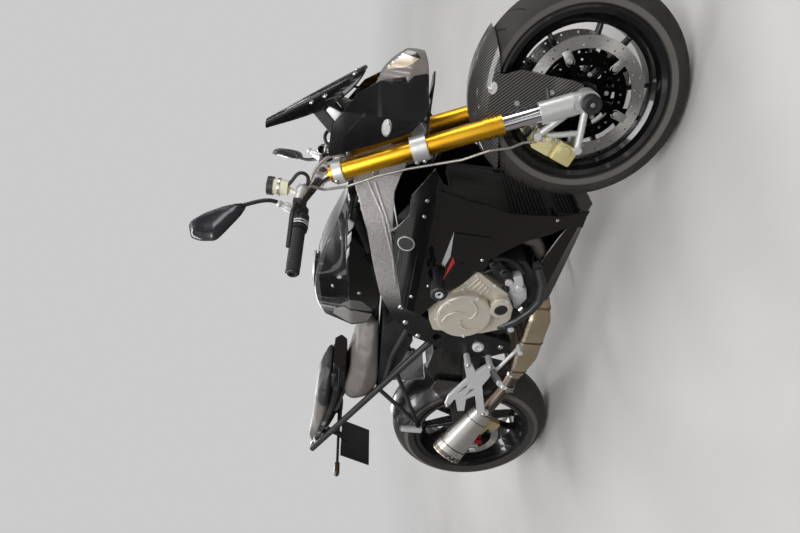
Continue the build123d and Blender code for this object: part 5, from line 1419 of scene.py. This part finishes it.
@dataclass
class Exhaust(SubAssembly):
    """Headers, collector and silencer with its bands and rivets."""

    front: Point = (-462.0, -172.0, 333.0)
    rear: Point = (-648.0, -238.0, 452.0)
    width: float = 54.0
    height: float = 76.0
    BESIDE: ClassVar[float] = -320.0
    NODES: ClassVar[dict[str, Finish]] = {
        "exhaust_headers": HEADER, "exhaust_collector": COLLECTOR, "muffler": TITANIUM,
    }

    def can(self) -> Thing:
        """The silencer: a six-sided can with rounded corners that widens to a recessed end.

        Returns:
            The can.
        """
        start, end = Vector(self.front), Vector(self.rear)
        axis = (end - start).normalized()
        across = Vector((axis.y, -axis.x, 0.0)).normalized()
        up = axis.cross(across)
        corners = [(-0.5, 0.0), (-0.28, 0.5), (0.28, 0.5), (0.5, 0.0), (0.28, -0.5), (-0.28, -0.5)]
        piece = chain("can_shell", [start + across * (a * self.width) + up * (b * self.height) for a, b in corners])
        bpy.ops.mesh.edge_face_add()
        bpy.ops.mesh.bevel(offset=self.width * 0.28 * MM, segments=5, affect="VERTICES")
        length = (end - start).length
        for share, run, grow in ((0.2, 0.2, 1.215), (1.0, 0.8, 1.33)):
            bpy.ops.mesh.extrude_region_move(TRANSFORM_OT_translate={"value": axis * (length * run * MM)})
            bpy.ops.transform.resize(value=(grow, grow, grow), center_override=(start + axis * length * share) * MM)
        for shrink, sink in ((0.9, 0.0), (0.99, -12.0), (0.62, 0.0), (0.98, -30.0)):
            bpy.ops.mesh.extrude_region_move(TRANSFORM_OT_translate={"value": axis * (sink * MM)})
            bpy.ops.transform.resize(value=(shrink, shrink, shrink), center_override=end * MM)
        return finish_shape(piece, 28.0)

    def build(self) -> list[Thing]:
        """Bands at both ends, rivets, the outlet's lip and the collector's clamps."""
        start, end = Vector(self.front), Vector(self.rear)
        axis = (end - start).normalized()
        lip = lathe("outlet_lip", [(24, -16), (29, 0), (31, 2), (33, 0), (33, -5), (24, -16)], end, axis, 40)
        clamps = [
            lathe("clamp", [(27, -7), (29.5, -7), (29.5, 7), (27, 7), (27, -7)], at, way, 40)
            for at, way in (((-350, -140, 268), (-0.9, -0.25, 0.25)), ((-300, -122, 254), (-0.95, -0.25, 0.2)))
        ]
        screw = lathe("screw", [(4, 0), (4, 22), (6, 22), (6, 27), (0, 27)], (-352, -168, 250), (0, 0, 1), 14)
        can = self.can()
        route = [(-284, -116, 249), (-288, -118, 250), (-330, -133, 262), (-370, -146, 278), self.front]
        link = hose("link_pipe", route, 26, 7)
        rings = [slice_band("can_band", can, Matrix.Identity(4), start + (end - start) * share, axis, length)
                 for share, length in ((0.03, 8.0), (0.21, 3.0), (0.8, 4.0), (0.95, 14.0))]
        box = frame["nodes"]["exhaust_collector"]
        seams = [slice_band("seam", box, Hold.FRAME.place().inverted(), (x, -20, 240), (1, 0, 0), length, 2.0)
                 for x, length in ((-268, 6.0), (-120, 5.0), (20, 7.0))]
        rivets = []
        for share in (0.86, 0.97):
            spot = start + (end - start) * share
            heights = [(spot.x, spot.z + offset) for offset in (-30, -15, 0, 15, 30)]
            rivets += [(at + facing, facing) for at, facing in self.spots("muffler", heights)]
        return [
            settle(joined("can_bands", rings), LINK),
            settle(can, TITANIUM, ["muffler"]),
            settle(link, LINK),
            settle(joined("collector_seams", seams), WELD),
            settle(Fastener(2.6, 1.6).set("can_rivets", rivets), STEEL),
            settle(lip, STEEL),
            settle(joined("pipe_clamps", [*clamps, screw]), STEEL),
        ]


@dataclass
class RearEnd(SubAssembly):
    """Rear wheel, swingarm, chain, shock and brake."""

    NODES: ClassVar[dict[str, Finish]] = {
        "rear_tyre": TYRE_REAR, "rear_rim": RIM_REAR, "rear_disc": DISC_REAR, "rear_sprocket": CHAIN,
        "swingarm": ENGINE_BLACK, "drive_chain": CHAIN, "rear_shock": SPRING, "rear_hugger": HUGGER,
        "rear_caliper": CALIPER_REAR, "rear_axle": BRACKET_SILVER, "paddock_spools": RED,
    }

    def build(self) -> list[Thing]:
        """Axle nuts and the swingarm's chain adjusters."""
        nut = [(17, 0), (17, 9), (12, 12), (8, 12), (8, 5), (0, 5)]
        nuts = [lathe("axle_nut", nut, (REAR_AXLE[0], y, REAR_AXLE[2]), way, 6)
                for y, way in ((-156, OUTWARD), (168, INWARD))]
        adjusters = [((-775, y, z), (-1, 0, 0)) for y in (-126, 138) for z in (308, 334)]
        return [
            settle(joined("rear_axle_nuts", nuts), STEEL),
            settle(Fastener(5.0, 5.0, 1.5).set("chain_adjusters", adjusters), STEEL),
        ]


@dataclass
class Tail(SubAssembly):
    """Tail, lamp, plate holder and its lamps."""

    NODES: ClassVar[dict[str, Finish]] = {"tail_cowl": BLACK, "tail_lamp": RED_LENS, "plate_holder": SATIN_BLACK}

    def build(self) -> list[Thing]:
        """Lenses of the rear indicators and the plate's screws."""
        lens = lathe("rear_indicator_lenses", [(11.4, 0), (11.4, 26), (10, 36), (6, 42), (0, 44)], (-895, -158, 854),
                     (0.03, -1, 0), 24)
        normal = Vector((-0.9, 0, 0.436)).normalized()
        up = Vector((0.436, 0, 0.9)).normalized()
        middle = Vector((-940, 0, 780)) + normal * 2.5
        spots = [(middle + Vector((0, y, 0)) + up * h, normal) for y in (-60, 60) for h in (-48, 48)]
        return [
            pair(lens, SMOKED_AMBER),
            settle(Fastener(4.5, 2.5, 1.0).set("plate_screws", spots), STEEL),
        ]


@dataclass
class Fork(SubAssembly):
    """Fork, clamps, calipers, mudguard and front wheel."""

    axle_end: Point = (FRONT_AXLE[0], -169.0, FRONT_AXLE[2])
    NODES: ClassVar[dict[str, Finish]] = {
        "fork_tubes": GOLD, "fork_stanchions": CHROME, "fork_feet": CAST_SILVER, "front_calipers": CALIPER,
        "front_axle": SATIN_BLACK_FORK, "lower_clamp": CAST_SILVER, "upper_clamp": CAST_SILVER,
        "front_mudguard": CARBON, "brake_hoses": BRAID, "front_tyre": TYRE_FRONT, "front_rim": RIM_FRONT,
        "front_discs": DISC_FRONT,
    }

    def build(self) -> list[Thing]:
        """Clamp and caliper bolts, axle caps, mudguard bolts, badge and the disc's fasteners."""
        pieces = []
        spots = self.spots("lower_clamp", ((492, 722), (500, 702))) + self.spots("upper_clamp", [(408, 938)])
        pieces.append(pair(Fastener(6.5, 5.0, 1.5).set("clamp_bolts", spots), STEEL_FORK))
        spots = self.spots("front_calipers", ((618, 430), (596, 346), (640, 420), (602, 366), (600, 400)))
        pieces.append(pair(Fastener(6.0, 4.0, 1.0).set("caliper_bolts", spots), STEEL_FORK))
        cap = lathe("axle_caps", [(24, -3), (24, 1), (20, 4), (13, 4), (12, -6), (7, -6), (6, -2), (0, -2)],
                    self.axle_end, OUTWARD)
        pieces.append(pair(cap, SATIN_BLACK_FORK))
        eye = lathe("axle_eyes", [(6.5, -3), (6.5, 3), (5, 4), (0, 4)], self.axle_end, OUTWARD, 6)
        pieces.append(pair(eye, STEEL_FORK))
        pads = [self.hug("pad", "front_calipers", outline, lift=0.2, wall=wall, cuts=4)
                for outline, wall in (([(616, 424), (634, 416), (620, 384), (602, 392)], 3.0),
                                      ([(601, 390), (619, 382), (604, 346), (588, 354)], 3.0),
                                      ([(640, 432), (650, 427), (612, 338), (602, 343)], 5.0))]
        pieces.append(pair(joined("caliper_pads", pads), CALIPER))
        rim = self.hug("guard_badges", "front_mudguard", oval((711, 549), 17, 12, 20), lift=0.2, wall=1.2, cuts=2)
        pieces.append(pair(rim, CAST_SILVER))
        spots = self.spots("front_mudguard", ((680, 477), (721, 391)))
        pieces.append(pair(Fastener(6.0, 3.0, 1.5).set("mudguard_bolts", spots), STEEL_FORK))
        return pieces + self.wheel()

    def wheel(self) -> list[Thing]:
        """Carrier bolts and rotor buttons on both discs."""
        rows = []
        for i in range(5):
            a = math.radians(72 * i)
            rows.append(((FRONT_AXLE[0] + 60 * math.cos(a), -70.5, FRONT_AXLE[2] + 60 * math.sin(a)), OUTWARD))
        bolts = both(Fastener(5.5, 4.0, 1.0).set("disc_bolts", rows))
        tab = plate("rotor_tab", [(-11, 30, 0), (-12, 8, 0), (-12, -6, 0), (-8, -12, 0), (8, -12, 0), (12, -6, 0),
                                  (12, 8, 0), (11, 30, 0)], (0, 0, 0.9), 0.3)
        button = lathe("button", [(8, 0.5), (8, 1.7), (6, 2.2), (4, 2.2), (3, 1.2), (0, 1.2)], (0, 0, 0), (0, 0, 1), 20)
        model = joined("rotor_button", [tab, button])
        places = []
        for i in range(5):
            a = math.radians(35 + 72 * i)
            away = Vector((math.cos(a), 0, math.sin(a)))
            turn = Matrix((Vector(OUTWARD).cross(away) * -1, away, Vector(OUTWARD))).transposed().to_4x4()
            places.append(Matrix.Translation((Vector((FRONT_AXLE[0], -69.6, FRONT_AXLE[2])) + away * 104) * MM) @ turn)
        buttons = both(scattered("rotor_buttons", model, places))
        return [settle(bolts, STEEL_WHEEL),
                settle(buttons, STEEL_WHEEL)]


@dataclass
class Cockpit(SubAssembly):
    """Handlebar, controls, mirrors, reservoir, dash, screen, nose and lamp."""

    reservoir: Point = (392.0, -196.0, 1062.0)
    bar_end: Point = (264.0, -398.0, 1004.0)
    elbow: Point = (362.0, -195.0, 1021.0)
    NODES: ClassVar[dict[str, Finish]] = {
        "handlebar": SATIN_BLACK_FORK, "hand_grips": RUBBER, "hand_controls": SATIN_BLACK_FORK, "fluid_reservoir": CUP,
        "mirrors": SHELL, "headlamp": LAMP_SMOKE, "nose_cowl": BLACK_FORK, "windscreen": SMOKE,
        "instrument_panel": SATIN_BLACK_FORK, "front_indicators": LENS,
    }

    def along(self, distance: float) -> Vector:
        """A point on the right grip's axis by its distance from the bar's end."""
        end = Vector(self.bar_end)
        return end + (Vector(self.elbow) - end).normalized() * distance

    def build(self) -> list[Thing]:
        """Everything on the bar, then the nose."""
        inward = (self.along(10) - self.along(0)).normalized()
        ridges = [(17.2, 0.0)]
        for i in range(14):
            ridges += [(17.2, 4.0 + i * 8), (18.6, 5.5 + i * 8), (18.6, 8.5 + i * 8), (17.2, 10.0 + i * 8)]
        sleeve = lathe("grip_sleeves", [*ridges, (17.2, 118.0)], self.along(0), inward, 28)
        cap = lathe("bar_end_caps", [(18.6, -2), (18.6, 2), (11, 4), (11, 8), (15, 10), (16, 12), (16, 24), (13, 27),
                                     (8, 27), (7, 20), (0, 20)], self.along(0), -inward, 32)
        rings = lathe("throttle_rings", [(24.4, 0), (24.4, 5), (22, 6), (22, 8), (24.4, 9), (24.4, 14), (20, 15)],
                      self.along(127), inward, 36)
        hoop = lathe("bar_end_rings", [(15.9, 0), (16.6, 1), (16.6, 4), (15.9, 5), (15.9, 0)], self.along(-14),
                     -inward, 32)
        centre = Vector(self.reservoir)
        lid = lathe("reservoir_lid", [(25.6, -2), (25.8, 14), (23, 16.5), (12, 17), (11, 15), (0, 15)],
                    centre + Vector((0, 0, 42)), (0, 0, 1), 36)
        band = lathe("reservoir_band", [(22.6, 0), (24.4, 0), (24.4, 6), (22.8, 6), (22.6, 0)],
                     centre + Vector((0, 0, 22)), (0, 0, 1), 36)
        body = [
            lathe("cylinder", [(13, 0), (13, 8), (15, 10), (15, 30), (12.5, 34), (12.5, 62), (9, 66), (0, 66)],
                  (396, -178, 1026), (-0.36, -0.9, 0.06), 28),
            lathe("mirror_base", [(12, -8), (12, 18), (9, 24), (8, 34), (10, 36), (10, 42), (6, 46), (0, 46)],
                  (350, -238, 1040), (0.35, -0.22, 0.9), 26),
        ]
        loop = hose("reservoir_hose", [(400, -198, 1064), (414, -196, 1052), (436, -190, 1044), (440, -184, 1022),
                                       (422, -180, 1008), (402, -182, 1014)], 5)
        lines = [
            hose("line", [(398, -172, 1012), (420, -140, 1008), (450, -112, 992), (474, -96, 962), (470, -92, 926)],
                 4.6),
            hose("line", [(392, 172, 1012), (420, 140, 1012), (452, 112, 996), (476, 96, 962), (470, 92, 926)], 4.6),
        ]
        cables = [
            hose("cable", [(372, -160, 1000), (400, -120, 984), (424, -96, 950), (428, -88, 900)], 4.0),
            hose("cable", [(372, 160, 1000), (400, 120, 984), (424, 96, 950), (428, 88, 900)], 4.0),
            hose("cable", [(478, -64, 968), (496, -56, 1000), (520, -40, 1000), (534, -30, 962)], 5.0),
        ]
        return [
            pair(sleeve, RUBBER),
            pair(cap, SATIN_BLACK_FORK),
            pair(hoop, CAST_SILVER),
            pair(rings, CAST_SILVER),
            settle(lid, SATIN_BLACK_FORK),
            settle(band, STEEL_FORK),
            pair(joined("bar_castings", body), CAST_SILVER),
            settle(loop, HOSE_FORK),
            settle(joined("brake_lines", lines), BRAID),
            settle(joined("control_cables", cables), HOSE_FORK),
        ] + self.nose() + self.mirrors()

    def nose(self) -> list[Thing]:
        """Screen bolts, dash sides, a patch of painted reflection and a dark patch on the lamp's lens, and the cowl's
        edges.
        """
        pieces = []
        # Painted reflection: a warm glowing patch on the lamp's lens where its reflector shines.
        reflector_glow = self.hug("lamp_reflectors", "headlamp", [(716, 838), (746, 832), (758, 800), (752, 756), (730, 784)],
                        lift=0.5, wall=0.8, cuts=6)
        dark = self.hug("lamp_hollows", "headlamp", [(766, 790), (764, 762), (754, 752), (760, 800)],
                        lift=0.5, wall=0.8, cuts=4)
        pieces.append(pair(reflector_glow, REFLECTOR_GLOW))
        pieces.append(pair(dark, LAMP_DARK))
        spots = [landed("windscreen", (x + 200, y, z + 140), (-0.82, 0, -0.57), Hold.FORK)
                 for x, y, z in ((610, -62, 1040), (628, -66, 1000), (690, -30, 925), (610, 62, 1040), (628, 66, 1000),
                                 (690, 30, 925))]
        pieces.append(settle(Fastener(6.0, 3.5, 2.0).set("screen_bolts", spots), STEEL_FORK))
        lines = [
            [(466, 944), (500, 880), (560, 770), (596, 726), (603, 731), (568, 776), (508, 884), (474, 945)],
            [(540, 930), (610, 880), (690, 820), (716, 770), (709, 766), (684, 812), (606, 873), (536, 923)],
        ]
        brows = [self.hug(f"brow_{i}", "nose_cowl", line, lift=0.1, wall=2.8, cuts=6)
                 for i, line in enumerate(lines)]
        pieces.append(pair(joined("cowl_creases", brows), BLACK_FORK))
        side = plate("dash_sides", in_plane(-88, [(545, 944), (590, 990), (604, 982), (586, 938), (564, 930)]),
                     (0, 10, 0), 2)
        pieces.append(pair(side, CAST_SILVER))
        return pieces

    def mirrors(self) -> list[Thing]:
        """Both mirrors: round stalks, domed heads with rounded outlines, and the glasses."""
        right = ((347, -235, 1034), (378, -252, 1100), (356, -280, 1172), (300, -328, 1293), (0.25, 0.95, 0.3))
        left = ((347, 235, 1034), (324, 262, 1084), (322, 288, 1126), (300, 372, 1210), (0.2, -0.62, 0.76))
        outline = [(-14, -8), (-14, 3), (38, 17), (92, 20), (140, 8), (142, -44), (121, -70), (86, -92), (64, -78),
                   (8, -34)]
        shells, glasses = [], []
        for foot, bend, neck, top, across in (map(Vector, row) for row in (right, left)):
            axis = (top - neck).normalized()
            over = (across - axis * across.dot(axis)).normalized()
            back = axis.cross(over)
            back = back if back.x > 0 else -back
            base = neck - back * 6
            head = chain("mirror_head", [base + axis * a + over * b for a, b in outline])
            bpy.ops.mesh.edge_face_add()
            bpy.ops.mesh.bevel(offset=9 * MM, segments=4, affect="VERTICES")
            middle = base + axis * 72 - over * 26
            depth = 0.0
            for step, shrink in ((3.0, 1.0), (5.0, 0.975), (6.0, 0.94), (6.0, 0.87), (4.0, 0.72), (2.0, 0.4)):
                depth += step
                bpy.ops.mesh.extrude_region_move(TRANSFORM_OT_translate={"value": back * (step * MM)})
                bpy.ops.transform.resize(value=(shrink, shrink, shrink), center_override=(middle + back * depth) * MM)
            shells.append(finish_shape(head, 50.0))
            shells.append(hose("mirror_stalk", [foot, foot * 0.4 + bend * 0.6, bend, neck * 0.7 + bend * 0.3, neck,
                                                neck + axis * 16], 5.6, 4))
            inner = [(-5, -6), (36, 10), (90, 13), (132, 3), (134, -42), (117, -63), (87, -83), (67, -70), (13, -30)]
            rim = [base - back * 0.2 + axis * a + over * b for a, b in inner]
            glasses.append(plate("glass", rim, back * -1.4, 0.4))
        return [settle(joined("mirror_shells", shells), SHELL, ["mirrors"]),
                settle(joined("mirror_glasses", glasses), GLASS)]


def main() -> None:
    """Build the scene sub-assembly by sub-assembly."""
    Studio().build()
    for part in (Chassis(), Engine(), Exhaust(), RearEnd(), Fork(), Cockpit(), Tank(), Fairings(), Tail(), Seats()):
        part.dress()
        pieces = part.build()
        LOG.info("%s: %d nodes dressed, %d pieces: %s", type(part).__name__, len(part.NODES), len(pieces),
                 ", ".join(p.name for p in pieces))


if __name__ == "__main__":
    main()
